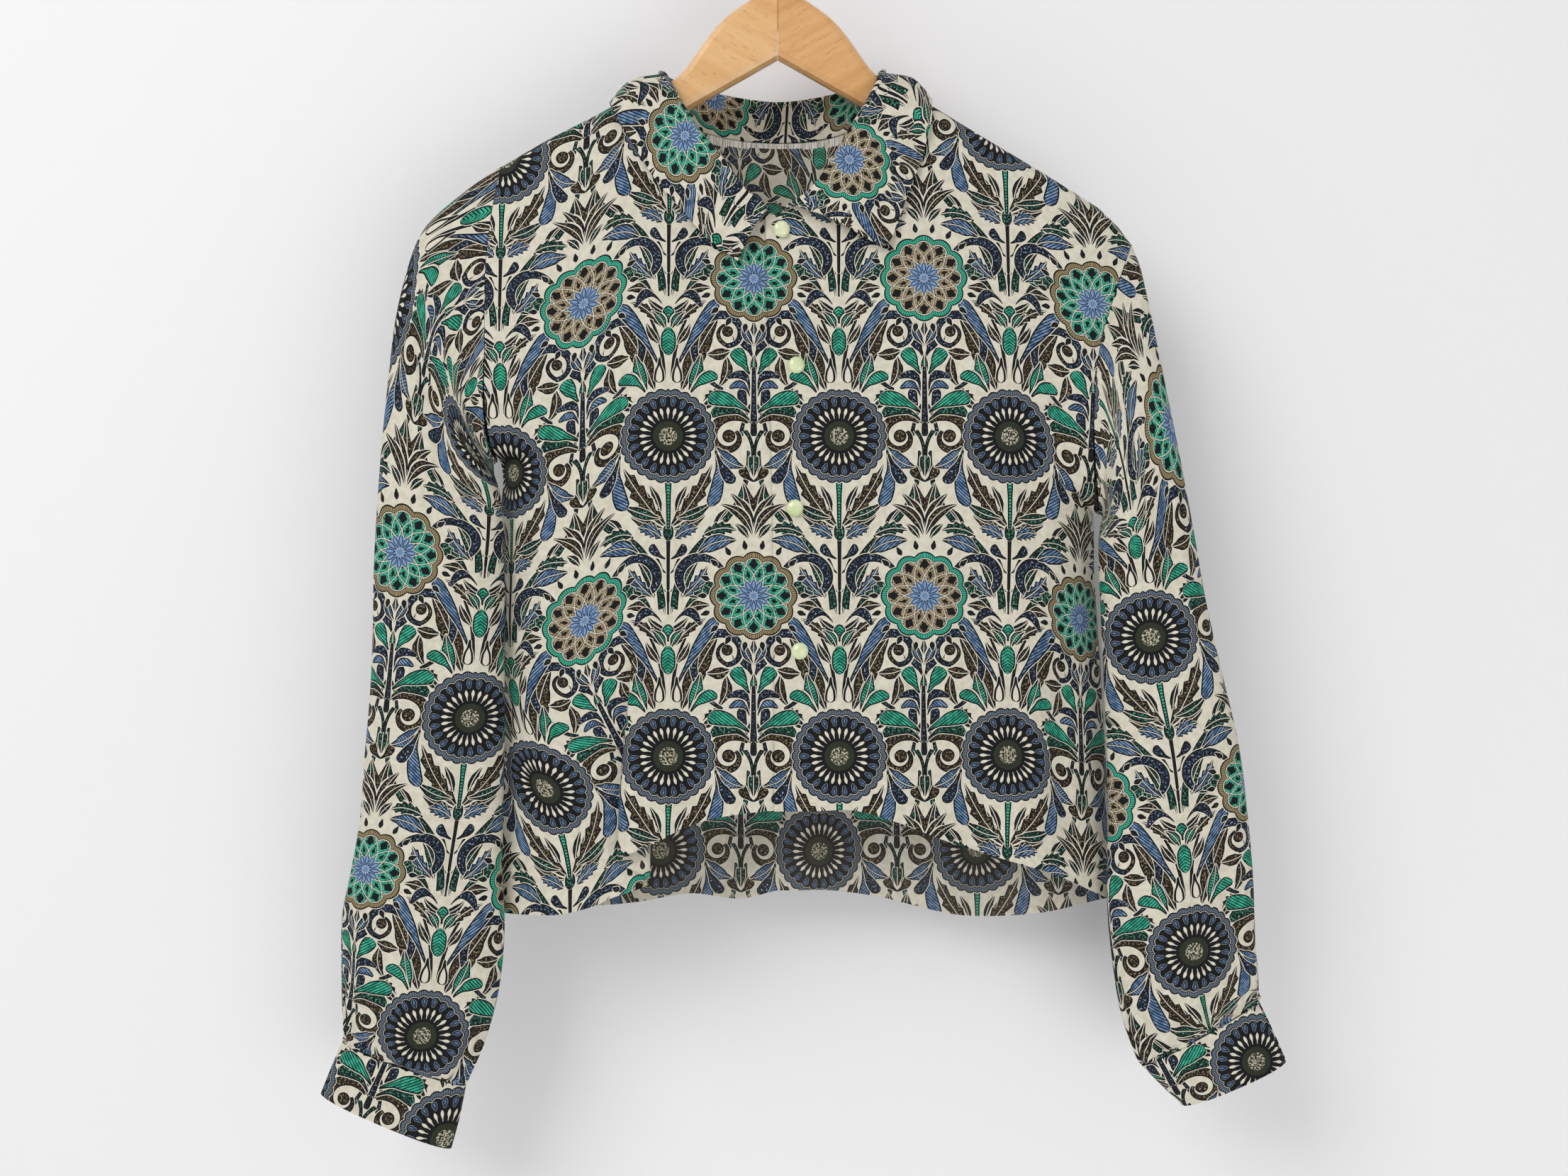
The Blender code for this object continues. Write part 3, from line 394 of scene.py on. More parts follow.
def front_point(side, u, v):
    """A point of a front on the inner face of its wall."""
    x, y, z = panel_point(side, u, v, FRONT_TOP, FRONT_HEM, PLACKET_EDGE[side], FRONT_DEPTH, -1,
                          FRONT_FLUTES)
    if side == LEFT:
        lap = ramp((x - STAND_LAP["x"]) / STAND_LAP["wide"])
        y = y + lap * (CLOTH + LAP_GAP)
        x, y, z = deep_fold(x, y, z)
    return x, y - SEAM_GAP / 2, z


def back_point(side, u, v):
    """A point of the back on the inner face of its wall."""
    x, y, z = panel_point(side, u, v, BACK_TOP, BACK_HEM, None, BACK_DEPTH, 1, BACK_FLUTES)
    return x, y + SEAM_GAP / 2, z


def rumple(x, z, seed, length, tall):
    """Soft unevenness of hanging cloth: a few long waves that cross each other."""
    chance = np.random.default_rng(seed)
    total = 0.0 * x
    for share in (1.0, 0.8, 0.6, 0.5, 0.35, 0.25):
        lean = chance.uniform(-0.9, 0.9)
        wave = length * (0.5 + share) * chance.uniform(0.8, 1.25)
        start, sway = chance.uniform(0, 6.28), chance.uniform(0, 6.28)
        across = 2 * math.pi * (x * math.cos(lean) + 0.55 * z * math.sin(lean)) / wave
        total = total + share * np.sin(across + start + 0.8 * np.sin(z / SWAY + sway))
    return tall * total / 2


def creases(rows, x, z):
    """Single soft folds: each runs from one point to another, out or in, and fades at its ends."""
    total = 0.0 * x
    for x0, z0, x1, z1, wide, out in zip(*(rows[name] for name in "x0 z0 x1 z1 wide out".split())):
        run = math.hypot(x1 - x0, z1 - z0)
        along = ((x - x0) * (x1 - x0) + (z - z0) * (z1 - z0)) / run**2
        off = ((x - x0) * (z1 - z0) - (z - z0) * (x1 - x0)) / run
        bow = CREASE_BOW * run * np.sin(math.pi * np.clip(along, 0, 1))
        fade = ramp(along / CREASE_END) * ramp((1 - along) / CREASE_END)
        total = total + out * fade * np.exp(-((off - bow) / wide)**2)
    return total


def normals(grid, closed):
    """Unit normals of a grid of points whose rows are open lines or closed rings."""
    across = np.roll(grid, -1, axis=1) - np.roll(grid, 1, axis=1) if closed else np.gradient(grid, axis=1)
    normal = np.cross(np.gradient(grid, axis=0), across)
    return normal / np.maximum(np.linalg.norm(normal, axis=-1, keepdims=True), 1e-12)


def crepe_piece(part, points, flat, low, high, closed=False, flip=False):
    """A fine shell round a grid of points, from low to high along its normals, with the flat
    cloth's own metres as its UV map; the right side is outside, the wrong side inside."""
    grid = np.stack(points, axis=-1)
    rows, columns = grid.shape[:2]
    wide = columns + 1 if closed else columns
    normal = normals(grid, closed) * (1 if flip else -1)
    shell = np.concatenate([(grid + normal * high).reshape(-1, 3), (grid + normal * low).reshape(-1, 3)])
    faces, places, kinds = [], [], []

    def lay(at_row, at_column, layer, kind):
        """Faces from the rows, columns and layers of their corners, and the side they show."""
        faces.append(layer * rows * columns + at_row * columns + at_column % columns)
        places.append((at_row, at_column))
        kinds.append(np.full(len(at_row), kind))

    def rim(length, forward, still, along_row):
        """A strip that closes one edge from the outer face to the inner face."""
        a, b = np.arange(length) + forward, np.arange(length) + (not forward)
        moving, still = np.stack([a, b, b, a], axis=1), np.full((length, 4), still)
        lay(*((still, moving) if along_row else (moving, still)), np.array([0, 0, 1, 1]), 0)

    r, c = (a.ravel() for a in np.meshgrid(np.arange(rows - 1), np.arange(wide - 1), indexing="ij"))
    at_row, at_column = np.stack([r, r + 1, r + 1, r], axis=1), np.stack([c, c, c + 1, c + 1], axis=1)
    way = 1 if flip else -1
    lay(at_row[:, ::way], at_column[:, ::way], 0, 0)
    lay(at_row[:, ::-way], at_column[:, ::-way], 1, 1)
    for row, forward in ((0, not flip), (rows - 1, flip)):
        rim(wide - 1, forward, row, True)
    if not closed:
        for column, forward in ((0, flip), (columns - 1, not flip)):
            rim(rows - 1, forward, column, False)
    mesh = bpy.data.meshes.new(part + "_cloth")
    mesh.from_pydata(shell.tolist(), [], np.concatenate(faces).tolist())
    for material in crepe:
        mesh.materials.append(material)
    mesh.polygons.foreach_set("material_index", np.concatenate(kinds).astype(np.int32))
    at_row, at_column = (np.concatenate(found).ravel() for found in zip(*places))
    at_cloth = np.stack([axis[at_row, at_column] for axis in flat], axis=1)
    cloth_map = mesh.uv_layers.new(name="cloth")
    cloth_map.data.foreach_set("uv", at_cloth.astype(np.float32).ravel())
    mesh.shade_smooth()
    mesh.set_sharp_from_angle(angle=math.radians(60))
    return add_object(part + "_cloth", mesh)


def hand_over(thing, part, digits=3, **sheet):
    """The piece rides the one body and stands for its solid, which is hidden."""
    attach(thing, "root")
    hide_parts(part)


def run_along(points, axis):
    """Length of cloth along each row or column of a grid, starting from nought."""
    step = np.linalg.norm(np.diff(np.stack(points, axis=-1), axis=axis), axis=-1)
    pad = [(0, 0), (0, 0)]
    pad[axis] = (1, 0)
    return np.cumsum(np.pad(step, pad), axis=axis)


# ------------------------------------------------------------------ the printed crepe
# Cream viscose crepe with an inky flower-and-scroll print: dark daisies and lobed medallions
# take turns, with leaf sprays, palmettes and scrolls between them. The repeat is mirrored.
# Drawn in millimetres: x from a line of daisies (0) to a line of medallions (HALF), y up.

HALF, TALL = 55.3, 206.0    # half the width and the whole height of the repeat
HALO, INK_LINE = 0.5, 1.45  # where a motif's cream edge and its black line end, from outside
CREAM, INK = linear("#D7D3C3"), linear("#0F1114")
TEAL, BLUE, SLATE, TAUPE = linear("#35A98C"), linear("#6585AD"), linear("#616D7D"), linear("#93835F")

# Half width along a leaf from its foot to its tip, as shares of the widest place.
OUTLINES = {
    "leaf": ((0, 0.12), (0.2, 0.62), (0.45, 1.0), (0.75, 0.62), (1, 0.0)),
    "drop": ((0, 0.16), (0.3, 0.42), (0.62, 0.92), (0.82, 1.0), (0.94, 0.72), (1, 0.1)),
    "oval": ((0, 0.1), (0.12, 0.62), (0.5, 1.0), (0.88, 0.62), (1, 0.1)),
    "stem": ((0, 1.0), (0.3, 0.8), (0.7, 0.7), (1, 0.55)),
    "saw": ((0, 0.2), (0.18, 0.75), (0.22, 0.45), (0.38, 1.0), (0.42, 0.62), (0.58, 1.0), (0.62, 0.55),
            (0.78, 0.72), (0.82, 0.3), (1, 0.0)),
}
VEINED = ("leaf", "saw")    # outlines with a pale line along the middle
# Each motif: foot x y, tip x y, half width, bow to the left, outline. "low" motifs are placed
# from a daisy downwards (y 0 to -206), "near" ones about a daisy's own height (y -103 to 103).
SPRAYS = (
    ("ink", "low", (
        (0, -60, 0, -114, 1.5, 0, "stem"), (55.3, -206, 55.3, -164, 2.2, 0, "stem"),
        (5, -50, 12, -32, 2.4, 1.0, "leaf"), (8, -47, 18, -32, 2.5, -1.0, "leaf"),
        (37.3, -178, 22.3, -184, 4.8, -1.0, "saw"), (21, -189, 36, -178, 2.6, 0, "leaf"),
        (3, -168, 11, -131, 1.5, 2.2, "stem"), (2, -115, 8, -93, 1.6, 0.8, "leaf"),
        (0.5, -126, 13, -117, 2.2, -1.5, "leaf"), (30, -62, 40, -46, 2.6, 1.5, "leaf"),
        (2, -100, 8, -88, 1.7, -0.8, "drop"))),
    ("brown", "low", (
        (3, -57, 29, -17, 5.6, -2.5, "saw"), (4, -60, 24, -51, 3.2, -1.5, "leaf"),
        (9, -175, 32, -129, 6.2, 1.5, "leaf"), (5, -134, 26, -117, 3.4, 2.0, "saw"),
        (10, -113, 27, -109, 3.3, 1.5, "leaf"), (37.3, -154, 32.8, -174, 3.5, 3.0, "leaf"),
        (39.3, -151, 25.5, -153, 3.8, 1.0, "leaf"), (6, -146, 14, -133, 2.4, -1.0, "leaf"))),
    ("green", "low", (
        (4, -110, 25, -65, 2.7, 5.0, "stem"), (25, -65, 52, -11, 2.5, -8.0, "stem"),
        (6, -53, 28, -43, 3.3, -2.0, "leaf"), (24, -63, 45, -61, 4.6, 2.5, "saw"),
        (9, -104, 20, -80, 2.8, 2.0, "leaf"), (12, -110, 30, -96, 4.3, 2.0, "drop"),
        (0, -67, 0, -57, 3.4, 0, "oval"), (44, -57, 52, -66, 2.2, 0.8, "leaf"))),
    ("navy", "low", (
        (2.5, -79, 11, -71, 2.9, -1.0, "drop"), (2, -88, 8, -80, 2.3, -0.8, "drop"),
        (5, -119, 21, -120, 3.6, 6.0, "drop"), (54.3, -154, 47.6, -142.5, 3.5, -0.5, "drop"),
        (52.3, -177, 39.5, -167, 3.4, -6.0, "drop"), (53, -197, 47.4, -175, 3.1, 1.5, "drop"),
        (47, -206, 53, -186, 1.6, 1.0, "stem"), (33, -198, 41, -184, 2.6, 1.0, "leaf"))),
    ("blue", "low", (
        (5, -65, 20, -59, 4.8, 1.5, "saw"), (20, -75, 44, -67, 5.0, 2.5, "leaf"),
        (11, -103, 26, -83, 4.0, -1.5, "saw"), (6, -160, 32, -117, 4.1, 1.0, "drop"),
        (55.3, -147, 55.3, -131, 2.5, 0, "leaf"), (54.3, -146, 48.2, -132.5, 2.7, 1.0, "leaf"),
        (52.3, -179, 40.5, -173.5, 3.1, -3.6, "drop"))),
    ("teal", "low", (
        (0, -31, 0, -59, 2.1, 0, "stem"), (0, -132, 0, -122, 3.9, 0, "oval"),
        (2, -136, 10.5, -125, 2.6, 1.5, "leaf"), (0, -153, 0, -136, 4.9, 0, "oval"),
        (14, -176, 21, -153, 4.0, -1.0, "leaf"), (15, -177, 31, -166, 4.0, 2.0, "drop"),
        (52.3, -165, 43.0, -150, 4.8, 0, "drop"), (55.3, -167, 55.3, -153, 2.3, 0, "leaf"))),
    ("brown", "near", (
        (54.3, -63, 48.5, -30, 3.6, -2.0, "leaf"), (54.3, -63, 40.5, -37, 3.4, -3.0, "leaf"),
        (54.3, -63, 34.0, -44, 3.1, -4.0, "leaf"), (54.8, -29, 47.5, -20.5, 3.2, 1.0, "drop"))),
    ("blue", "near", (
        (31.3, -8, 48.8, -20, 4.7, -2.5, "leaf"), (31.0, -10, 28.0, -45, 4.6, 3.0, "drop"))),
    ("navy", "near", (
        (31.8, -12, 42.0, -30, 3.7, -1.0, "drop"), (55.3, 10, 55.3, 44, 2.2, 0, "stem"))),
    ("green", "near", (
        (51.8, 11, 28.0, 15, 4.4, -4.5, "drop"), (55.3, -9, 55.3, -26, 3.3, 0, "leaf"),
        (50, 3, 54.5, -12, 1.6, 1.5, "stem"))),
    ("teal", "near", ((51.8, 16, 26.5, 25, 5.2, -2.5, "drop"),)),
)
# Scrolls: centre x y, the angle their line starts opposite to, radius at even steps of a full
# turn from there, half width at the same steps, radius of the eye.
SCROLLS = (
    ("brown", "near", 39.3, 0.0, 215, (15.5, 12.6, 11.2, 10.6, 9.8, 9.0, 8.0, 6.8, 5.4),
     (1.6, 2.8, 3.2, 3.1, 2.8, 2.5, 2.2, 1.7, 1.2), 4.2),
    ("navy", "low", 38.3, -138.0, 86, (9.3, 9.0, 8.4, 8.6, 10.2, 13.4, 19.0, 27.0, 38.0),
     (1.7, 1.8, 2.1, 2.5, 2.9, 3.1, 3.0, 2.5, 1.2), 0.0),
    ("brown", "low", 38.3, -138.0, 150, (-9, -9, -9, 4.4, 5.0, 6.2, 7.6, 9.0, -9),
     (0, 0, 0, 0.9, 1.1, 1.4, 1.5, 1.5, 0), 3.6),
    ("navy", "low", 19.5, -92.0, 130, (-9, 17.5, 15.5, 13.6, 12.8, 12.4, 12.0, 12.0, -9),
     (0, 0.8, 2.0, 2.8, 3.3, 3.1, 2.0, 0.5, 0), 0.0),
)

START = 0.02                # depth at which a motif begins
LEAF_TIP = 0.6              # how far a leaf's cream edge goes on past its foot and tip
OUTSIDE = -3.0              # a depth well outside a motif
VEIN = 0.75                 # half width of the line along the middle of a veined leaf
RAY_LINE = 0.13             # width of a flower rim's rays, as a share of the gap between them
HATCH_GAP = 1.05            # half the distance between the pen's hatching lines
MOTTLE = 3 / (4 * MM)       # brush marks: three in 4 mm
PATCH = 1.1 / (5 * MM)      # pale and deep patches: about one in 5 mm
WEAVE = (8 / (5 * MM), 1.3 / (5 * MM), 1.0)     # crinkles of the crepe across and along
WEAVE_DEPTH = 0.2 * MM

# Inks hatched with the pen: pale tone, deep tone, slope of the lines and half their width.
HATCHED = (("teal", "#3AB595", "#1F8A70", 0.75, 0.4), ("blue", "#7896B9", "#476A93", -0.9, 0.42))
# Inks brushed on: the mottle's level from which each tone starts.
BRUSHED = {
    "brown": ((0.0, "#110F0E"), (0.51, "#33291F"), (0.57, "#6F5E43"), (0.67, "#A39474")),
    "navy": ((0.0, "#0D1015"), (0.53, "#1F2A3D"), (0.59, "#4A648A"), (0.68, "#B4BFCC")),
    "green": ((0.0, "#0D1311"), (0.52, "#173A32"), (0.58, "#27836B"), (0.68, "#8DB5A6")),
}
# Rims of the two flowers, and rings of petals: how many, and their half widths at distances
# from the middle.
DAISY_RIM = dict(lobes=27, reach=31.4, dip=1.5, rays=20.0)
MEDALLION_RIM = dict(lobes=12, reach=29.0, dip=2.6, rays=19.0)
BLUE_DROPS = 22, ((18.9, -2.0), (19.7, -0.2), (21.4, 0.4), (23.2, 0.9), (24.4, 0.5), (25.2, -0.2),
                  (26.0, -2.0))
WHITE_DROPS = 24, ((10.5, -2.0), (11.3, 0.0), (13.4, 0.3), (16.2, 1.0), (17.6, 0.7), (18.6, 0.0),
                   (19.4, -2.0))
SPURS = 18, ((29.5, -2.0), (30.2, 0.4), (32.6, 1.7), (34.6, 1.0), (36.0, 0.3), (36.6, -2.0))
FLOWER = 12, ((0, -0.2), (2.6, -0.1), (3.2, 0.25), (7.2, 1.45), (9.2, 1.0), (10.2, 0.0), (10.8, -2.0))
EYE_RADIUS, SEEDS_RADIUS = 9.6, 5.8
CELL_TWIST = 0.075          # how fast the medallion's crossing petals lean with distance

cloth_print = bpy.data.node_groups.new("printed cloth", "ShaderNodeTree")
cloth_print.interface.new_socket("Color", in_out="OUTPUT", socket_type="NodeSocketColor")
draw = partial(put, cloth_print)


def clear(colour):
    """The same colour, laid on with nothing of it covering."""
    return colour[:3] + (0.0,)


def over(below, above, cover):
    """One colour laid over another where cover is one."""
    return draw("Mix", {0: cover, 6: below, 7: above}, data_type="RGBA").outputs[2]


def banded(below, depth, *bands):
    """Flat bands laid over what is below, each from its depth in millimetres up to the next;
    a ramp's places run to 1, so 10 mm is its end."""
    stops = [(place / 10, colour) for place, colour in bands]
    ring = draw("ValToRGB", draw("MULTIPLY", depth, 0.1), stops=stops, sharp=True)
    return over(below, ring.outputs[0], ring.outputs[1])


def painted(below, depth, ink):
    """A motif over what is below it: cream edge, black line, then its ink."""
    below = banded(below, depth, (0.0, clear(CREAM)), (START, CREAM), (HALO, INK))
    return over(below, ink, draw("GREATER_THAN", depth, INK_LINE))


def apart(first, second):
    """Joins two motifs' depths so that the second keeps its own edge over the first."""
    behind = draw("MINIMUM", first, draw("MULTIPLY", second, -1.0))
    return draw("MAXIMUM", behind, second)


def leaf(x, y, x0, y0, x1, y1, half, bow, outline):
    """How deep inside one leaf or petal, in millimetres, from its cream edge inwards."""
    long = math.hypot(x1 - x0, y1 - y0)
    c, s = (x1 - x0) / long, (y1 - y0) / long
    along = draw("MULTIPLY_ADD", y, s / long, -(x0 * c + y0 * s) / long)
    along = draw("MULTIPLY_ADD", x, c / long, along)
    off = draw("MULTIPLY_ADD", y, c, x0 * s - y0 * c)
    off = draw("MULTIPLY_ADD", x, -s, off)
    if bow:
        lean = draw("MULTIPLY_ADD", along, 4.0 * bow, -4.0 * bow)
        off = draw("MULTIPLY_ADD", along, lean, off)
    off = draw("ABSOLUTE", off)
    tip = LEAF_TIP / long
    line = [(-tip - 0.02, OUTSIDE)]
    line += [(a * (1 + 2 * tip) - tip, w * half + HALO) for a, w in OUTLINES[outline]]
    line += [(1 + tip + 0.02, OUTSIDE)]
    half_width = draw("FloatCurve", {1: along}, points=line, sharp=outline == "saw")
    depth = draw("SUBTRACT", half_width, off)
    if outline in VEINED:
        depth = draw("MINIMUM", depth, draw("MULTIPLY", off, INK_LINE / VEIN))
    return depth


def polar(x, y, x0, y0, angle=0.0):
    """Distance from a point and the turn about it, counted from an angle in degrees."""
    across = draw("SUBTRACT", x, x0)
    up = draw("SUBTRACT", y, y0)
    far = draw("MULTIPLY", across, across)
    far = draw("MULTIPLY_ADD", up, up, far)
    far = draw("SQRT", far)
    turn = draw("ARCTAN2", up, across)
    if angle:
        turn = draw("SUBTRACT", turn, math.radians(angle))
        turn = draw("WRAP", turn, math.pi, -math.pi)
    return far, turn


def scroll(x, y, x0, y0, angle, radii, halves, eye):
    """How deep inside a scroll that winds once about its eye."""
    far, turn = polar(x, y, x0, y0, angle)
    steps = [math.pi * (i / 4 - 1) for i in range(len(radii))]
    off = draw("SUBTRACT", far, draw("FloatCurve", {1: turn}, points=list(zip(steps, radii))))
    off = draw("ABSOLUTE", off)
    widths = [(step, half + HALO) for step, half in zip(steps, halves)]
    depth = draw("SUBTRACT", draw("FloatCurve", {1: turn}, points=widths), off)
    if eye:
        depth = draw("MAXIMUM", depth, draw("SUBTRACT", eye + HALO, far))
    return depth


def spoke(turn, count):
    """How far round from the nearest of so many spokes, as a share of the gap between two."""
    return draw("PINGPONG", draw("MULTIPLY", turn, count / (2 * math.pi)), 0.5)


def petals(turn, far, count, widths):
    """How deep inside a ring of petals: widths are half widths at distances from the middle."""
    off = draw("MULTIPLY", spoke(turn, count), far)
    off = draw("MULTIPLY", off, 2 * math.pi / count)
    return draw("SUBTRACT", draw("FloatCurve", {1: far}, points=widths), off)


def lobed_rim(below, turn, far, lobes, reach, dip, rays, ink):
    """A disc whose edge dips between its lobes, painted with thin rays; also how deep inside."""
    ray = draw("PINGPONG", draw("MULTIPLY", turn, rays), 0.5)
    hatched = over(ink, INK, draw("LESS_THAN", ray, RAY_LINE))
    share = spoke(turn, lobes)
    edge = draw("MULTIPLY_ADD", draw("MULTIPLY", share, share), -4.0 * dip, reach)
    depth = draw("SUBTRACT", edge, far)
    return painted(below, depth, hatched), depth


# Where a point of the cloth lies in the repeat, folded about the lines of daisies and medallions.
flat_cloth = draw("UVMap", uv_map="cloth")
metres = draw("SeparateXYZ", flat_cloth).outputs
cloth_x, cloth_y = draw("MULTIPLY", metres[0], 1 / MM), draw("MULTIPLY", metres[1], 1 / MM)
folded = draw("PINGPONG", cloth_x, HALF)
heights = {"near": draw("WRAP", cloth_y, TALL / 2, -TALL / 2), "low": draw("WRAP", cloth_y, 0.0, -TALL)}

# The inks: pale and deep tones broken up as if brushed, with a pen's hatching over them.
mottle = draw("TexNoise", {"Vector": flat_cloth, "Scale": MOTTLE, "Detail": 2.0, "Roughness": 0.65},
              noise_dimensions="2D").outputs[0]
patch = draw("TexNoise", {"Vector": flat_cloth, "Scale": PATCH, "Detail": 1.0},
             noise_dimensions="2D").outputs[0]
inks = {"ink": over(INK, linear("#3A4250"), draw("GREATER_THAN", mottle, 0.62))}
for name, pale, deep, slope, line in HATCHED:
    run = draw("PINGPONG", draw("MULTIPLY_ADD", folded, slope, heights["low"]), HATCH_GAP)
    tone = over(linear(deep), linear(pale), draw("MapRange", patch, 0.4, 0.6))
    inks[name] = over(tone, INK, draw("LESS_THAN", run, line))
for name, stops in BRUSHED.items():
    stops = [(place, linear(code)) for place, code in stops]
    inks[name] = draw("ValToRGB", mottle, stops=stops, sharp=True).outputs[0]

# The cream ground, then the sprays and scrolls of each ink from the back to the front.
picture = over(CREAM, linear("#CCC7B6"), draw("MapRange", patch, 0.35, 0.65))
for ink, place, rows in SPRAYS:
    leaves = (leaf(folded, heights[place], *row) for row in rows)
    scrolls = (scroll(folded, heights[place], *row[2:]) for row in SCROLLS if row[:2] == (ink, place))
    picture = painted(picture, reduce(apart, chain(leaves, scrolls)), inks[ink])

# White drops in thick black rims at the foot of each spray.
depth = leaf(folded, heights["low"], 5.5, -156, 5.8, -171, 3.4, 0, "drop")
picture = banded(picture, depth, (0.0, clear(CREAM)), (START, CREAM), (HALO, INK), (1.9, CREAM))

# The daisy: a scalloped hatched rim, a ring of blue drops, a ring of white ones, a seedy eye.
far, turn = polar(folded, heights["near"], 0.0, 0.0)
picture, depth = lobed_rim(picture, turn, far, ink=SLATE, **DAISY_RIM)
picture = banded(picture, depth, (0.0, clear(INK)), (3.9, INK), (4.5, linear("#B9B8AC")), (5.0, INK))
depth = draw("ADD", petals(turn, far, *BLUE_DROPS), 1.0)
picture = banded(picture, depth, (0.0, clear(INK)), (0.1, linear("#7F8C9C")), (0.4, INK),
                 (0.95, linear("#33496B")), (1.5, linear("#5F80A8")))
depth = petals(turn, far, *WHITE_DROPS)
picture = over(picture, CREAM, draw("GREATER_THAN", depth, 0.0))
seeds = over(linear("#20241B"), linear("#B9B49E"), draw("GREATER_THAN", mottle, 0.52))
eye = linear("#2A3024")
picture = banded(picture, draw("SUBTRACT", EYE_RADIUS, far), (0.0, clear(eye)), (START, eye))
picture = over(picture, seeds, draw("LESS_THAN", far, SEEDS_RADIUS))

# The medallion: spurs round a lobed hatched rim, crossing pointed petals, a blue flower. Teal
# and taupe change places from one line of medallions to the next.
line_no = draw("FLOOR", draw("MULTIPLY", cloth_x, 0.5 / HALF))
odd = draw("PINGPONG", line_no, 1.0)
mirrored = draw("SUBTRACT", HALF, folded)
far, turn = polar(mirrored, heights["low"], 0.0, -TALL / 2)
picture = painted(picture, draw("ADD", petals(turn, far, *SPURS), HALO), inks["ink"])
picture, depth = lobed_rim(picture, turn, far, ink=over(TEAL, TAUPE, odd), **MEDALLION_RIM)
twist = draw("MULTIPLY", far, CELL_TWIST)
slant = draw("MULTIPLY", turn, MEDALLION_RIM["lobes"] / (2 * math.pi))
left_run, right_run = (draw("PINGPONG", draw(way, slant, twist), 0.5) for way in ("ADD", "SUBTRACT"))
lattice = draw("MULTIPLY", draw("MINIMUM", left_run, right_run), far)
cells = over(over(linear("#A08F70"), TEAL, odd), INK, draw("GREATER_THAN", mottle, 0.57))
cells = banded(cells, lattice, (0.0, CREAM), (0.55, INK), (1.2, clear(INK)), (4.2, INK))
picture = banded(picture, depth, (0.0, clear(INK)), (4.0, INK), (4.5, CREAM), (5.1, INK))
picture = over(picture, cells, draw("GREATER_THAN", depth, 5.5))
depth = draw("ADD", petals(turn, far, *FLOWER), 1.0)
picture = banded(picture, depth, (0.0, clear(CREAM)), (0.1, CREAM), (0.4, BLUE), (1.05, INK),
                 (1.55, linear("#7795BE")))
cloth_print.links.new(picture, cloth_print.nodes.new("NodeGroupOutput").inputs[0])


def crepe_material(name, roughness, fade):
    """The crepe's right side, or its wrong side where the print shows through faintly."""
    material, tree, sockets = surface(name, roughness, IOR=1.5, Specular_IOR_Level=0.25)
    drawn = tree.nodes.new("ShaderNodeGroup")
    drawn.node_tree = cloth_print
    shown = put(tree, "Mix", {0: fade, 6: drawn.outputs[0], 7: linear("#C9C4B6")}, data_type="RGBA")
    tree.links.new(shown.outputs[2], sockets["Base Color"])
    threads = put(tree, "Mapping", {0: put(tree, "UVMap", uv_map="cloth"), 3: WEAVE})
    grain = put(tree, "TexNoise", {"Vector": threads, "Scale": 1.0, "Detail": 2.0}, noise_dimensions="2D")
    bump = put(tree, "Bump", {"Strength": 0.5, "Distance": WEAVE_DEPTH, "Height": grain})
    tree.links.new(bump.outputs[0], sockets["Normal"])
    return material


# The crepe's printed right side, matt and dry to the eye, and its slightly paler wrong side.
crepe = [crepe_material("printed_crepe", 0.82, 0.0), crepe_material("printed_crepe_wrong_side", 0.88, 0.05)]


# ------------------------------------------------------------------ fronts and back
# Two fronts and a back, cut straight with no darts. The wearer's left front laps over the
# right one on the button stand; both hems are turned up and stitched.

FRONT_CREASES = {           # ends in the front view, half width, and how far out (or in)
    LEFT: table("x0 z0 x1 z1 wide out",
                (-150, -215, -120, -330, 13, 1.6), (-178, -300, -135, -440, 11, -1.8),
                (-60, -215, -62, -380, 16, 1.4), (-150, -480, -130, -640, 10, 2.2),
                (-172, -520, -165, -660, 8, -1.6), (-38, -380, -44, -590, 13, -1.5),
                (-70, -560, -60, -625, 9, 1.8), (-112, -390, -96, -480, 9, 2.0)),
    RIGHT: table("x0 z0 x1 z1 wide out",
                 (180, -260, 120, -420, 14, 1.8), (196, -330, 170, -470, 10, -1.8),
                 (100, -190, 96, -360, 16, 1.5), (60, -380, 52, -590, 13, 1.6),
                 (110, -460, 118, -620, 12, -2.0), (150, -500, 162, -640, 11, 2.2),
                 (192, -520, 200, -650, 9, -1.8), (28, -300, 24, -420, 8, -0.8)),
}
BACK_CREASES = table("x0 z0 x1 z1 wide out",
                     (-150, -240, -60, -420, 18, 2.0), (150, -260, 70, -430, 18, 2.0),
                     (-175, -360, -120, -560, 12, -2.2), (190, -390, 130, -580, 12, -2.2),
                     (-20, -330, -10, -560, 16, -1.8), (60, -330, 66, -560, 15, 1.6))
PRINT_FROM = (39.8 * MM, -579.0 * MM)       # where one daisy lies on the fronts
BACK_PRINT_FROM = (28.0 * MM, -649.0 * MM)
HEM = dict(turn=16.0 * MM, soft=2.0 * MM, proud=0.5 * MM)       # stitch line above the edge
STITCHED = dict(above=1.2 * MM, deep=0.45 * MM, wide=1.6 * MM)  # the dip along the stitching
PUCKERS = (3.1 * MM, 17.3 * MM)             # two lengths of wave that cross along it
LOW, HIGH = 0.1 * MM, 1.0 * MM              # the fine sheet inside the solid's wall
STAND = dict(x=12 * MM, half=35 * MM, calm=0.75)        # the button stand, which lies flatter
FRONT_FREE = dict(below=70 * MM, beside=0.06)           # how soon folds start below the shoulder
BACK_FREE = dict(below=80 * MM, beside=0.06)            # and beside the side seams (share of u)
FRONT_FOLDS = 1.4                           # how much deeper the fronts' folds are than tabled
FRONT_RUMPLE = dict(length=75 * MM, tall=1.3 * MM)
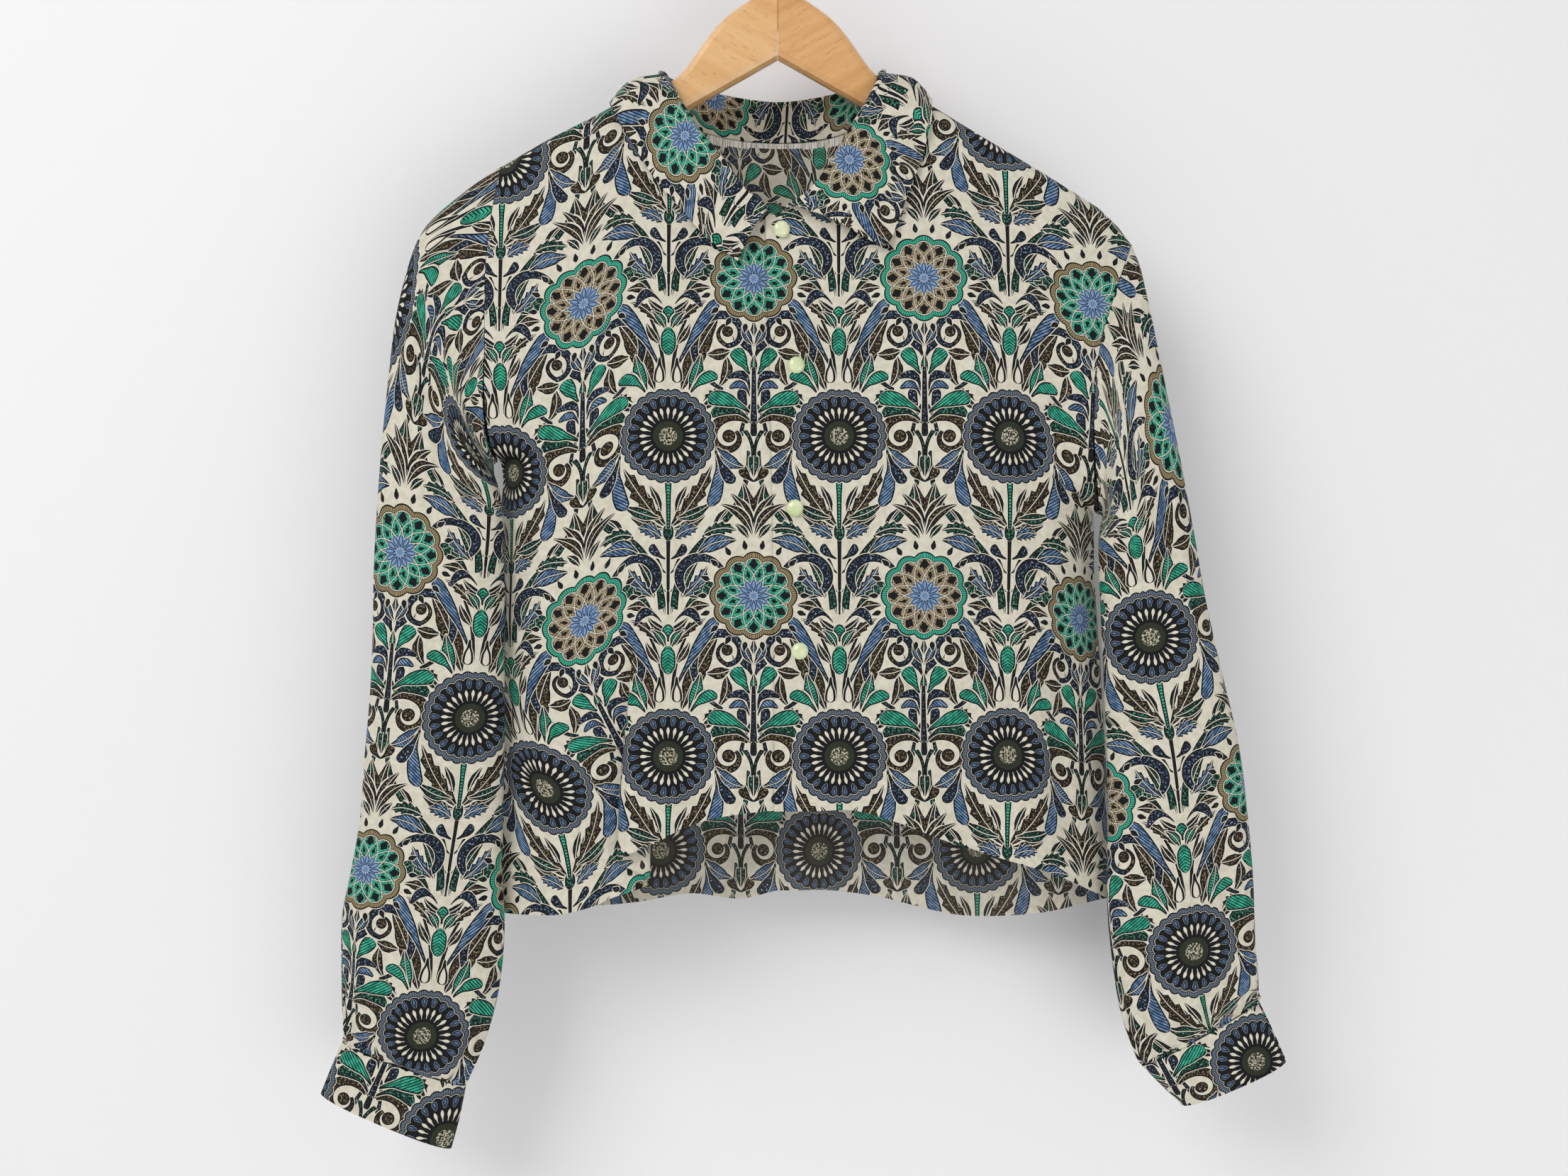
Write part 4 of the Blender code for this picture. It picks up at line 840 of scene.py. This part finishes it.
BACK_RUMPLE = dict(length=85 * MM, tall=1.3 * MM)
SAG = ((22, -85, -60), (16, 150, 55))       # mm the print hangs lower, from an x, over a width
OVERLOCK = dict(half=47 * MM, deep=3.8 * MM)
THREADS = dict(lean=0.35, stretch=(1.0, 0.05, 1.0), often=3 / (2 * MM))     # three in 2 mm


def hem_ridge(edge_z, z, x):
    """The turned-up hem stands a little proud and puckers along its stitching."""
    up = z - edge_z - HEM["turn"]
    pucker = 1 + 0.5 * np.sin(x / PUCKERS[0]) * np.sin(x / PUCKERS[1])
    dip = STITCHED["deep"] * pucker * np.exp(-((up - STITCHED["above"]) / STITCHED["wide"])**2)
    return HEM["proud"] * (1 - ramp(up / HEM["soft"])) - dip


def fine_front(side):
    """The front's grid of points; closer together through the wearer's right front's fold."""
    u = np.linspace(0, 1, 130)
    if side == LEFT:
        u = np.interp(np.linspace(0, 1, 230), [0, 0.26, 0.72, 1], [0, 0.40, 0.68, 1])
    u, v = np.meshgrid(u, np.linspace(0, 1, 210))
    x, y, z = front_point(side, u, v)
    free = ramp((shoulder_height(x) - z) / FRONT_FREE["below"]) * ramp((1 - u) / FRONT_FREE["beside"])
    out = FRONT_FOLDS * creases(FRONT_CREASES[side], x, z) + rumple(x, z, 5 + side, **FRONT_RUMPLE)
    out = out * (1 - STAND["calm"] * ramp(1 - np.abs(x - STAND["x"]) / STAND["half"]))
    return x, y - out * free - hem_ridge(z[-1:, :], z, x), z


def fine_back():
    """The back's grid of points, from the wearer's right side seam to the left one."""
    u, v = np.meshgrid(np.linspace(-1, 1, 236), np.linspace(0, 1, 200))
    sides = back_point(LEFT, np.abs(u), v), back_point(RIGHT, np.abs(u), v)
    x, y, z = (np.where(u < 0, a, b) for a, b in zip(*sides))
    free = ramp((shoulder_height(x) - z) / BACK_FREE["below"]) * ramp((1 - np.abs(u)) / BACK_FREE["beside"])
    out = creases(BACK_CREASES, x, z) + rumple(x, z, 17, **BACK_RUMPLE)
    return x, y + out * free + hem_ridge(z[-1:, :], z, x), z


for side, part, size, arm in ((LEFT, "front_right", (0.235, 0.49), "hanger_arm_right"),
                              (RIGHT, "front_left", (0.245, 0.49), "hanger_arm_left")):
    x, y, z = points = fine_front(side)
    across = x[:, :1] + side * run_along((x, y, 0 * z), 1)
    # Towards the side seams the cloth hangs lower, which carries the print down.
    drop = sum(down * MM * ramp((x / MM - start) / wide) for down, start, wide in SAG)
    flat = (across - PRINT_FROM[0], z + drop - PRINT_FROM[1])
    thing = crepe_piece(part, points, flat, LOW, HIGH, flip=side == RIGHT)
    hand_over(thing, part, flat=size, rests_on=[arm])

# White overlocking over the raw edge of the neck seam, seen inside the back of the neck; the grey between
# its rows of thread is painted shade.
overlock, tree, sockets = surface("overlocked_white_thread_painted_shade", 0.75, IOR=1.5)
threads = put(tree, "UVMap", uv_map="cloth")
threads = put(tree, "Mapping", {0: threads, 2: (0, 0, THREADS["lean"]), 3: THREADS["stretch"]})
rows = put(tree, "TexNoise", {"Vector": threads, "Scale": THREADS["often"], "Detail": 1.0},
           noise_dimensions="2D")
# Grey between the thread's rows: painted shade in the gaps between the loops.
tone = put(tree, "ValToRGB", rows, stops=((0.42, linear("#A5A39A")), (0.52, linear("#F1EFE8"))))
tree.links.new(tone.outputs[0], sockets["Base Color"])

x, y, z = points = fine_back()
middle = x.shape[1] // 2
across = run_along((x, y, 0 * z), 1)
flat = (across - across[:, middle:middle + 1] - BACK_PRINT_FROM[0], z - BACK_PRINT_FROM[1])
thing = crepe_piece("back", points, flat, LOW, HIGH)
thing.data.materials.append(overlock)
for face in thing.data.polygons:
    near_neck = abs(face.center.x) < OVERLOCK["half"] and face.center.z > z[0, middle] - OVERLOCK["deep"]
    if face.material_index == 1 and near_neck:
        face.material_index = 2
hand_over(thing, "back", flat=(0.46, 0.56), rests_on=["hanger_arm_right", "hanger_arm_left"])


# ------------------------------------------------------------------ sleeves and cuffs
# Set-in sleeves of the same crepe, gathered into straight cuffs. The wearer's right cuff is
# buttoned; the left one hangs open at its slit.


# Outer and inner edge of the hanging sleeve from shoulder to cuff seam, the middle of its
# depth, and how far it stands in front of that and behind it.
SLEEVE = {
    LEFT: table("ox oz ix iz y front back",
                (-182, -192.3, -184, -386, 0, 20, 17), (-204, -206.8, -188, -387, 0, 20, 17),
                (-224, -221.8, -190, -389, 0, 21, 17), (-236, -237, -189.5, -391, -2, 21, 17),
                (-244, -262, -188.5, -393.5, -5, 20, 16), (-250.5, -295, -187, -397, -9, 19, 14),
                (-254, -332, -185, -402, -13, 18, 12), (-257, -372, -183, -411, -16, 17, 11),
                (-259, -412, -181, -427, -18, 16, 10), (-261, -455, -179.5, -456, -19, 16, 10),
                (-262, -497, -179.5, -497, -19, 16, 10), (-264, -538, -180, -538, -19, 16, 10),
                (-268, -582, -180.5, -580, -18, 16, 10), (-271, -621, -181, -616, -17, 16, 10),
                (-277, -652, -181, -652, -16, 16, 11), (-284.5, -685, -179.2, -693, -14, 17, 12),
                (-286, -718, -182.5, -732, -11, 17, 13), (-286, -748, -191.5, -767, -9, 16, 13),
                (-285, -765, -203, -792, -8, 12, 11), (-285.6, -769.5, -206.4, -797.6, -8, 11, 10)),
    RIGHT: table("ox oz ix iz y front back",
                 (233, -243.4, 209, -420, 0, 20, 17), (237.5, -256, 215, -421.5, 0, 20, 17),
                 (241.5, -275, 216, -423.5, -2, 20, 17), (247, -302, 215.5, -426, -5, 20, 15),
                 (253, -334, 214, -429.5, -9, 19, 14), (259.5, -372, 212.5, -435, -13, 18, 12),
                 (266, -408, 211.5, -443, -16, 17, 11), (272, -443, 211, -458, -18, 16, 10),
                 (278, -477, 212, -487, -19, 16, 10), (288, -523, 214, -533, -19, 16, 10),
                 (299.5, -574, 215.5, -581, -19, 16, 10), (305.7, -621, 215.5, -631, -18, 16, 10),
                 (310, -662, 215.5, -678, -16, 17, 12), (312.5, -700, 219.5, -714, -12, 17, 13),
                 (315, -726, 226.5, -750, -9, 16, 13), (315, -738, 237, -778, -8, 12, 11),
                 (316.2, -742.6, 240.4, -784, -8, 11, 10)),
}
# Cuff: seam end and hem end of the outer and inner edge.
CUFF = {
    LEFT: table("ox oz ix iz y front back",
                (-285.9, -770.4, -206.7, -798.5, -8, 11, 10), (-293, -787, -211, -820, -8, 11.5, 10),
                (-300.2, -804.5, -216.5, -840, -7, 12, 10)),
    RIGHT: table("ox oz ix iz y front back",
                 (316.5, -743.3, 240.9, -784.8, -8, 11, 10), (325.5, -762, 254, -798, -8, 13, 11),
                 (334.5, -782, 267.5, -811, -7, 15, 12)),
}
OFF_ARMHOLE = 1.3           # seam gaps that the sleeve stands off the armhole
GATHERS = dict(count=9, deep=1.6 * MM, tall=48.0 * MM, hold=0.012)
FACING = dict(round=1.6, down=0.05)     # radians and share of sleeve where it faces the body
ARMHOLE_REACH = 0.42        # share down the sleeve over which the armhole's shape fades
SLEEVE_BLUNT = dict(head=4.0, cuff=2.5, by=0.6)    # how square the flattened tube is
CUFF_SLIT = dict(front=0.30, back=0.10)     # radians left open either side of the outer edge


def tube_point(rows, angle, t, blunt):
    """A point round a flattened tube; angle 0 is its outer edge, pi its inner edge."""
    knots = np.arange(len(rows["ox"])) / (len(rows["ox"]) - 1)
    at = {name: eased(knots, values, t) for name, values in rows.items()}
    c, s = np.cos(angle), np.sin(angle)
    fat = np.sqrt(np.maximum(1 - np.abs(c)**blunt, 0)) * np.sign(s)
    x = (at["ox"] + at["ix"]) / 2 + c * (at["ox"] - at["ix"]) / 2
    z = (at["oz"] + at["iz"]) / 2 + c * (at["oz"] - at["iz"]) / 2
    y = at["y"] - np.where(fat > 0, at["front"], at["back"]) * fat
    return x, y, z


def armhole_point(side, angle):
    """The seam round the armhole; the front half is 0 to pi, the back half pi to 2 pi."""
    v = np.where(angle <= math.pi, angle, 2 * math.pi - angle) / math.pi * UNDERARM_V
    one = 1.0 + 0 * v
    front, back = front_point(side, one, v), back_point(side, one, v)
    return tuple(np.where(angle <= math.pi, f, b) for f, b in zip(front, back))


def sleeve_point(side, angle, t):
    """A point of the sleeve: the armhole seam's own shape at the top, a plain tube lower down."""
    rows = SLEEVE[side]
    head, cuff = SLEEVE_BLUNT["head"], SLEEVE_BLUNT["cuff"]
    x, y, z = tube_point(rows, angle, t, head + (cuff - head) * ramp(t / SLEEVE_BLUNT["by"]))
    first = tube_point(rows, angle, 0 * t, head)
    seam = armhole_point(side, angle)
    keep = 1 - ramp(t / ARMHOLE_REACH)
    x, y, z = (p + keep * (s - f) for p, s, f in zip((x, y, z), seam, first))
    length = rows["oz"][0] - rows["oz"][-1]
    near_cuff = ramp(1 - (1 - t) * length / GATHERS["tall"]) * ramp((1 - t) / GATHERS["hold"])
    y = y + GATHERS["deep"] * near_cuff * np.sin(GATHERS["count"] * angle) * np.sign(np.sin(angle))
    # At the underarm the two walls lie face to face, so the sleeve stands off by both of them.
    facing = 2 * CLOTH * ramp(1 - np.abs(angle - math.pi) / FACING["round"])
    facing = facing * (1 - ramp(t / FACING["down"]))
    return x + side * (SEAM_GAP * OFF_ARMHOLE + facing), y, z


SLEEVE_CREASES = {          # angle and height where each fold starts and ends, half width, out
    LEFT: ((0.8, 0.22, 1.9, 0.46, 0.06, 1.6), (2.3, 0.20, 1.2, 0.50, 0.05, -1.5),
           (1.0, 0.48, 1.7, 0.80, 0.06, 1.8), (2.2, 0.55, 1.9, 0.92, 0.05, -1.6),
           (0.7, 0.75, 1.1, 0.97, 0.05, 2.0), (1.6, 0.80, 1.5, 0.99, 0.04, 2.0)),
    RIGHT: ((2.2, 0.24, 1.2, 0.50, 0.06, 1.8), (0.9, 0.30, 1.6, 0.60, 0.05, -1.6),
            (2.0, 0.55, 1.5, 0.85, 0.06, 1.8), (1.0, 0.60, 0.9, 0.94, 0.05, -1.8),
            (1.5, 0.80, 1.7, 0.99, 0.04, 2.2), (2.3, 0.78, 2.0, 0.97, 0.05, 2.0)),
}
SLEEVE_TURN = {LEFT: 0.073, RIGHT: -0.049}      # the grain leans outwards down the arm, in radians
SLEEVE_PRINT_FROM = {LEFT: (46 * MM, -280 * MM), RIGHT: (-127.6 * MM, -178.6 * MM)}
CUFF_PRINT_FROM = (-20 * MM, -31 * MM)
CUFF_LOW, CUFF_HIGH = 0.0 * MM, 1.3 * MM
ROUND_ARM = 0.04            # about a sleeve's radius, which turns angles round it to metres
ROUND_RUMPLE = 0.03         # the same for rumples, which are narrower
FULL_TURN = 2 * math.pi
SLEEVE_RUMPLE = dict(length=60 * MM, tall=1.1 * MM)
SLEEVE_LENGTH = 0.6         # metres, to place the rumples along the sleeve
SLEEVE_FOLD = dict(tall=1.3 * MM, wide=0.16)    # what the crease table's last columns stand for
PLEATS = dict(tall=0.8 * MM, start=0.80, over=0.17, hold=0.02)      # shares of the sleeve
SLEEVE_FREE = dict(head=0.10, cuff=0.012)       # shares over which folds start and stop


def fine_sleeve(side):
    """The sleeve's rings of points, with its folds front and back and its gathers' pleats."""
    angle, t = np.meshgrid(np.linspace(0, FULL_TURN, 151)[:-1], np.linspace(0, 1, 210))
    grid = np.stack(sleeve_point(side, angle, t), axis=-1)
    normal = normals(grid, True)
    outwards = grid - grid.mean(axis=1, keepdims=True)
    normal = normal * np.sign((outwards * normal).sum(axis=-1).mean())
    out = rumple(angle * ROUND_RUMPLE, t * SLEEVE_LENGTH, 31 + side, **SLEEVE_RUMPLE)
    for a0, t0, a1, t1, wide, high in SLEEVE_CREASES[side]:
        along = np.clip((t - t0) / (t1 - t0), 0, 1)
        fade = ramp(along / CREASE_END) * ramp((1 - along) / CREASE_END)
        for turned in (0.0, math.pi):
            off = (angle - turned - (a0 + (a1 - a0) * along)) * ROUND_ARM
            out = out + high * SLEEVE_FOLD["tall"] * fade * np.exp(-(off / (wide * SLEEVE_FOLD["wide"]))**2)
    near = ramp((t - PLEATS["start"]) / PLEATS["over"]) * ramp((1 - t) / PLEATS["hold"])
    pleats = np.sin(17 * angle + 1.3 * np.sin(3 * angle + side)) + 0.5 * np.sin(29 * angle + 2)
    out = out + PLEATS["tall"] * near * pleats
    free = ramp(t / SLEEVE_FREE["head"]) * ramp((1 - t) / SLEEVE_FREE["cuff"])
    grid = grid + normal * (out * free)[..., None]
    return tuple(grid[..., i] for i in range(3))


def closed_ring(points):
    """A grid whose first column comes again at its end."""
    return tuple(np.concatenate([p, p[:, :1]], axis=1) for p in points)


for side, owner, size in ((LEFT, "right", (0.21, 0.60)), (RIGHT, "left", (0.19, 0.58))):
    points = fine_sleeve(side)
    ring = run_along(closed_ring(points), 1)
    front = points[0].shape[1] // 4
    across = (ring[:, front:front + 1] - ring) * side
    down = run_along(points, 0)[:, front:front + 1]
    turn, (from_x, from_y) = SLEEVE_TURN[side], SLEEVE_PRINT_FROM[side]
    flat = (across * math.cos(turn) + down * math.sin(turn) - from_x,
            across * math.sin(turn) - down * math.cos(turn) - from_y)
    sleeve = crepe_piece("sleeve_" + owner, points, flat, LOW, HIGH, closed=True, flip=side == LEFT)
    hand_over(sleeve, "sleeve_" + owner, flat=size, rests_on=["front_%s_cloth" % owner, "back_cloth"])

    closed = side == LEFT
    band = np.linspace(0, FULL_TURN, 121)[:-1]
    if not closed:
        band = np.linspace(CUFF_SLIT["front"], FULL_TURN - CUFF_SLIT["back"], 120)
    points = tube_point(CUFF[side], *np.meshgrid(band, np.linspace(0, 1, 26)), SLEEVE_BLUNT["cuff"])
    ring, down = run_along(closed_ring(points) if closed else points, 1), run_along(points, 0)
    flat = (ring * -side - CUFF_PRINT_FROM[0], 0 * ring - down[:, :1] - CUFF_PRINT_FROM[1])
    cuff = crepe_piece("cuff_" + owner, points, flat, CUFF_LOW, CUFF_HIGH, closed=closed, flip=side == LEFT)
    hand_over(cuff, "cuff_" + owner, digits=4, flat=(0.19, 0.045), rests_on=[sleeve.name])


# ------------------------------------------------------------------ collar
# A one-piece pointed collar with a low stand: double crepe over a light interlining, sewn round
# the neck, rolled over and pressed, open in front.


# Places round the neck from one front end to the other: the roll line, the outer edge, and
# the compass direction in which the collar falls (degrees, 90 is straight back).
COLLAR = table("t rx ry rz ex ey ez",
               (0, -7, -29, -223.5, -25.9, -29, -259), (60, -22, -28.5, -211, -43.8, -28.5, -246),
               (130, -36, -27.5, -191.5, -62, -27.5, -226), (210, -52, -24, -172, -81, -23.5, -203),
               (270, -64.5, -17, -152, -96, -17.5, -178),
               (310, -74, -12, -135, -107, -14.5, -159), (322, -76, -7, -130.5, -109.5, -8.5, -152.3),
               (335, -77.5, -1, -128.3, -111, -1, -149.4), (365, -74, 12, -129, -108, 12, -153.5),
               (400, -60, 27, -131, -88, 21, -166), (440, -40, 36, -134, -53, 33.5, -176),
               (500, 0, 43, -137.5, 0, 46.5, -180), (560, 38, 36, -134, 49, 33.5, -176),
               (600, 55, 27, -131, 79, 21, -166), (635, 67, 12, -129, 98, 12, -151),
               (665, 70, -1, -127.6, 101, -1, -147.6),
               (678, 69.5, -7, -129.8, 101.5, -8.5, -150.3), (690, 68, -12, -135, 101, -15, -160),
               (730, 60, -17, -151, 95, -19, -187), (790, 46, -24, -174, 88, -26, -206),
               (870, 33, -27.5, -197, 80, -29, -228), (940, 21, -28.5, -213, 73.5, -31.5, -245),
               (1000, 10, -29, -220.5, 68.5, -33, -251.5))
COLLAR_FALLS = dict(t=np.array([0, .13, .21, .28, .335, .385, .44, .5,
                                .56, .615, .665, .72, .79, .87, 1]),
                    towards=np.array([-100.0, -110, -125, -150, -180, -215, -245, -270,
                                      -295, -325, -360, -390, -415, -430, -440]))
ROLL_RADIUS = 2.2 * MM
STAND_RISE = 1.3 * MM               # straight up off the seam before the stand leans
STAND_BOW = 0.8 * MM
SIDE_NECK_T = (0.335, 0.665)        # where the collar passes the two shoulder seams
COLLAR_LIFT = 0.86 * MM             # from the panels' edge to the collar's own
OFF_ARM = dict(reach=0.018, lift=1.0, out=0.35)         # how it clears the top of an arm
BELLY = dict(reach=0.05, more=1.6)  # the fall bulges where it turns over a shoulder seam
FRONT_END_U = {LEFT: 0.10, RIGHT: 0.06}
BESIDE, BELOW = 0.004, 0.024        # steps along and down the panels that give their directions
# The roll and the fall beyond the stand: share of the way from roll line to edge, then roll
# radii outwards and up, and whether the belly swells them.
ROLL_AND_FALL = ((0, -1, -1.2, False), (0, -0.5, -0.2, False), (0, 0.5, -0.2, False), (0, 1, -1.2, False),
                 (0.38, 1, 0.4, True), (0.73, 0.6, 0.3, True))
COLLAR_LOW, COLLAR_HIGH = -0.7 * MM, 0.7 * MM
COLLAR_PRINT_FROM = (127 * MM, 74 * MM)
COARSE_ROWS, FINE_ROWS, EDGE_ROW = 10, 46, 30   # EDGE_ROW lies on the fall, where widths are true


def neck_seam(t, v=0.0):
    """The panels' neck edge below each place of the collar, or a little down from it."""
    first, last = SIDE_NECK_T
    left_end, right_end = FRONT_END_U[LEFT], FRONT_END_U[RIGHT]
    pieces = ((t <= first, front_point, LEFT, left_end + (NECK_U - left_end) * t / first),
              ((t > first) & (t <= 0.5), back_point, LEFT, NECK_U * (0.5 - t) / (0.5 - first)),
              ((t > 0.5) & (t <= last), back_point, RIGHT, NECK_U * (t - 0.5) / (last - 0.5)),
              (t > last, front_point, RIGHT, right_end + (NECK_U - right_end) * (1 - t) / (1 - last)))
    found = np.zeros((3,) + t.shape)
    for inside, point, side, u in pieces:
        found = np.where(inside, np.array(point(side, np.clip(u, 0, NECK_U), v + 0 * t)), found)
    return found


def collar_point(t, s):
    """A point of the collar; s runs from the neck seam over the roll to the outer edge."""
    seam = neck_seam(t)
    roll, edge = (np.array([eased(COLLAR["t"], COLLAR[name], t) for name in names.split()])
                  for names in ("rx ry rz", "ex ey ez"))
    way = np.radians(eased(COLLAR_FALLS["t"], COLLAR_FALLS["towards"], t))
    out = np.array([np.cos(way), np.sin(way), 0 * way]) * ROLL_RADIUS
    up = np.array([0 * t, 0 * t, 1 + 0 * t]) * ROLL_RADIUS
    along = unit(neck_seam(np.minimum(t + BESIDE, 1)) - neck_seam(np.maximum(t - BESIDE, 0)))
    rise = seam - neck_seam(t, BELOW)
    rise = unit(rise - along * (rise * along).sum(axis=0))
    face = np.cross(along, rise, axis=0)
    away = np.array([0 * t, seam[1], 4 * MM + 0 * t])       # off the hanger, where the walls lie
    from_arm = np.minimum(abs(t - SIDE_NECK_T[0]), abs(t - SIDE_NECK_T[1]))
    over_arm = np.exp(-(from_arm / OFF_ARM["reach"])**2)
    start = (seam + rise * COLLAR_LIFT * (1 + OFF_ARM["lift"] * over_arm)
             + face * np.sign((face * away).sum(axis=0)) * CLOTH * (0.5 + OFF_ARM["out"] * over_arm))
    belly = 1 + BELLY["more"] * np.exp(-(from_arm / BELLY["reach"])**2)
    profile = [start, start + STAND_RISE * rise, (start + roll) / 2 + STAND_BOW * rise]
    profile += [roll + (edge - roll) * share + (belly if swells else 1) * (outwards * out + upwards * up)
                for share, outwards, upwards, swells in ROLL_AND_FALL]
    profile = np.array(profile + [edge])
    steps = len(profile) - 1
    return tuple(sum(place[axis] * np.maximum(1 - np.abs(s * steps - i), 0)
                     for i, place in enumerate(profile)) for axis in range(3))


def smooth_rows(coarse, count):
    """More rows between the given ones, on a smooth line through them."""
    rows = len(coarse)
    at = np.linspace(0, rows - 1, count)
    i = np.clip(at.astype(int), 0, rows - 2)
    f = (at - i)[:, None]
    before, after = np.clip(i - 1, 0, rows - 1), np.clip(i + 2, 0, rows - 1)
    a, b, c, d = coarse[before], coarse[i], coarse[i + 1], coarse[after]
    return b + 0.5 * f * (c - a + f * (2 * a - 5 * b + 4 * c - d + f * (3 * (b - c) + d - a)))


t, s = np.meshgrid(np.linspace(0, 1, 240), np.linspace(0, 1, COARSE_ROWS))
points = tuple(smooth_rows(axis, FINE_ROWS) for axis in collar_point(t, s))
ring, down = run_along(points, 1), run_along(points, 0)
flat = (ring[EDGE_ROW] + 0 * down - COLLAR_PRINT_FROM[0], -down - COLLAR_PRINT_FROM[1])
collar = crepe_piece("collar", points, flat, COLLAR_LOW, COLLAR_HIGH)
hand_over(collar, "collar", digits=4, flat=(0.45, 0.075),
          rests_on=["front_right_cloth", "front_left_cloth", "back_cloth"])


# ------------------------------------------------------------------ buttons
# Ivory pearl-look resin buttons, domed and glossy, sewn on from below; the cuffs' buttons are
# the same but smaller. They keep the solid's shape.

pearl, tree, sockets = surface("ivory_pearl_resin", 0.16, IOR=1.55, Coat_Weight=0.4, Coat_Roughness=0.08,
                              Subsurface_Weight=0.25, Subsurface_Scale=2 * MM)
spot = put(tree, "TexCoord").outputs["Object"]
cloud = put(tree, "TexNoise", {"Vector": spot, "Scale": 140.0, "Detail": 3.0})
tone = put(tree, "ValToRGB", cloud, stops=((0.35, linear("#C9DAA2")), (0.65, linear("#E8ECCB"))))
tree.links.new(tone.outputs[0], sockets["Base Color"])


# ------------------------------------------------------------------ wooden hanger
# Two lacquered beech arms, glued at the middle with the grain along each arm, and a bright
# steel wire hook screwed in at the top.

ARM_LEAN = 0.5              # radians, how far each arm falls away from level
GRAIN = (9.0, 90.0, 150.0)  # how often beech changes per metre along an arm, through it and up
FLECKS = (160.0, 500.0, 900.0)
DRAWN = (900.0, 900.0, 60.0)        # fine lines along the wire from the die it was drawn through


def beech(name, lean, pale, dark):
    """Clear-lacquered beech: long faint grain with short darker flecks, along a leaning arm."""
    material, tree, sockets = surface(name, 0.34, IOR=1.5, Coat_Weight=0.35, Coat_Roughness=0.15)
    spot = put(tree, "TexCoord").outputs["Object"]
    level = put(tree, "Mapping", {0: spot, 2: (0, lean, 0)})
    long = put(tree, "Mapping", {0: level, 3: GRAIN})
    rings = put(tree, "TexNoise", {"Vector": long, "Scale": 1.0, "Detail": 4.0, "Distortion": 0.4})
    tone = put(tree, "ValToRGB", rings, stops=((0.32, linear(dark)), (0.62, linear(pale))))
    short = put(tree, "Mapping", {0: level, 3: FLECKS})
    flecks = put(tree, "TexNoise", {"Vector": short, "Scale": 1.0, "Detail": 1.0})
    flecks = put(tree, "MapRange", flecks, 0.62, 0.72, 0.0, 0.35)
    shown = put(tree, "Mix", {0: flecks, 6: tone, 7: linear("#A8743C")}, data_type="RGBA")
    tree.links.new(shown.outputs[2], sockets["Base Color"])
    bump = put(tree, "Bump", {"Strength": 0.15, "Distance": 0.2 * MM, "Height": rings})
    tree.links.new(bump.outputs[0], sockets["Normal"])
    return material


# Bright drawn steel: a mirror with fine streaks of duller sheen along the wire.
wire, tree, sockets = surface("bright_steel_wire", 0.24, Metallic=1.0, Base_Color=(0.62, 0.62, 0.60, 1.0))
spot = put(tree, "TexCoord").outputs["Object"]
drawn = put(tree, "Mapping", {0: spot, 3: DRAWN})
drawn = put(tree, "TexNoise", {"Vector": drawn, "Scale": 1.0, "Detail": 2.0})
dull = put(tree, "MapRange", {0: drawn, 3: 0.18, 4: 0.34})
tree.links.new(dull.outputs[0], sockets["Roughness"])

# The pieces that keep their solids take their materials in the solids' own slots.
dressed = {
    "hanger_arm_right": beech("lacquered_beech_right_arm", -ARM_LEAN, "#E4B780", "#D7A468"),
    # The wearer's left arm takes deeper tones than the right one: painted shade on the arm that slopes away
    # from the window.
    "hanger_arm_left": beech("lacquered_beech_left_arm_painted_shade", ARM_LEAN, "#DCAA72", "#CD9759"),
    "hanger_hook": wire,
}
for name in ("button_1", "button_2", "button_3", "button_4", "cuff_button_right", "cuff_button_left"):
    dressed[name] = pearl
for name, material in dressed.items():
    for held in bpy.data.objects[name].material_slots:
        held.material = material
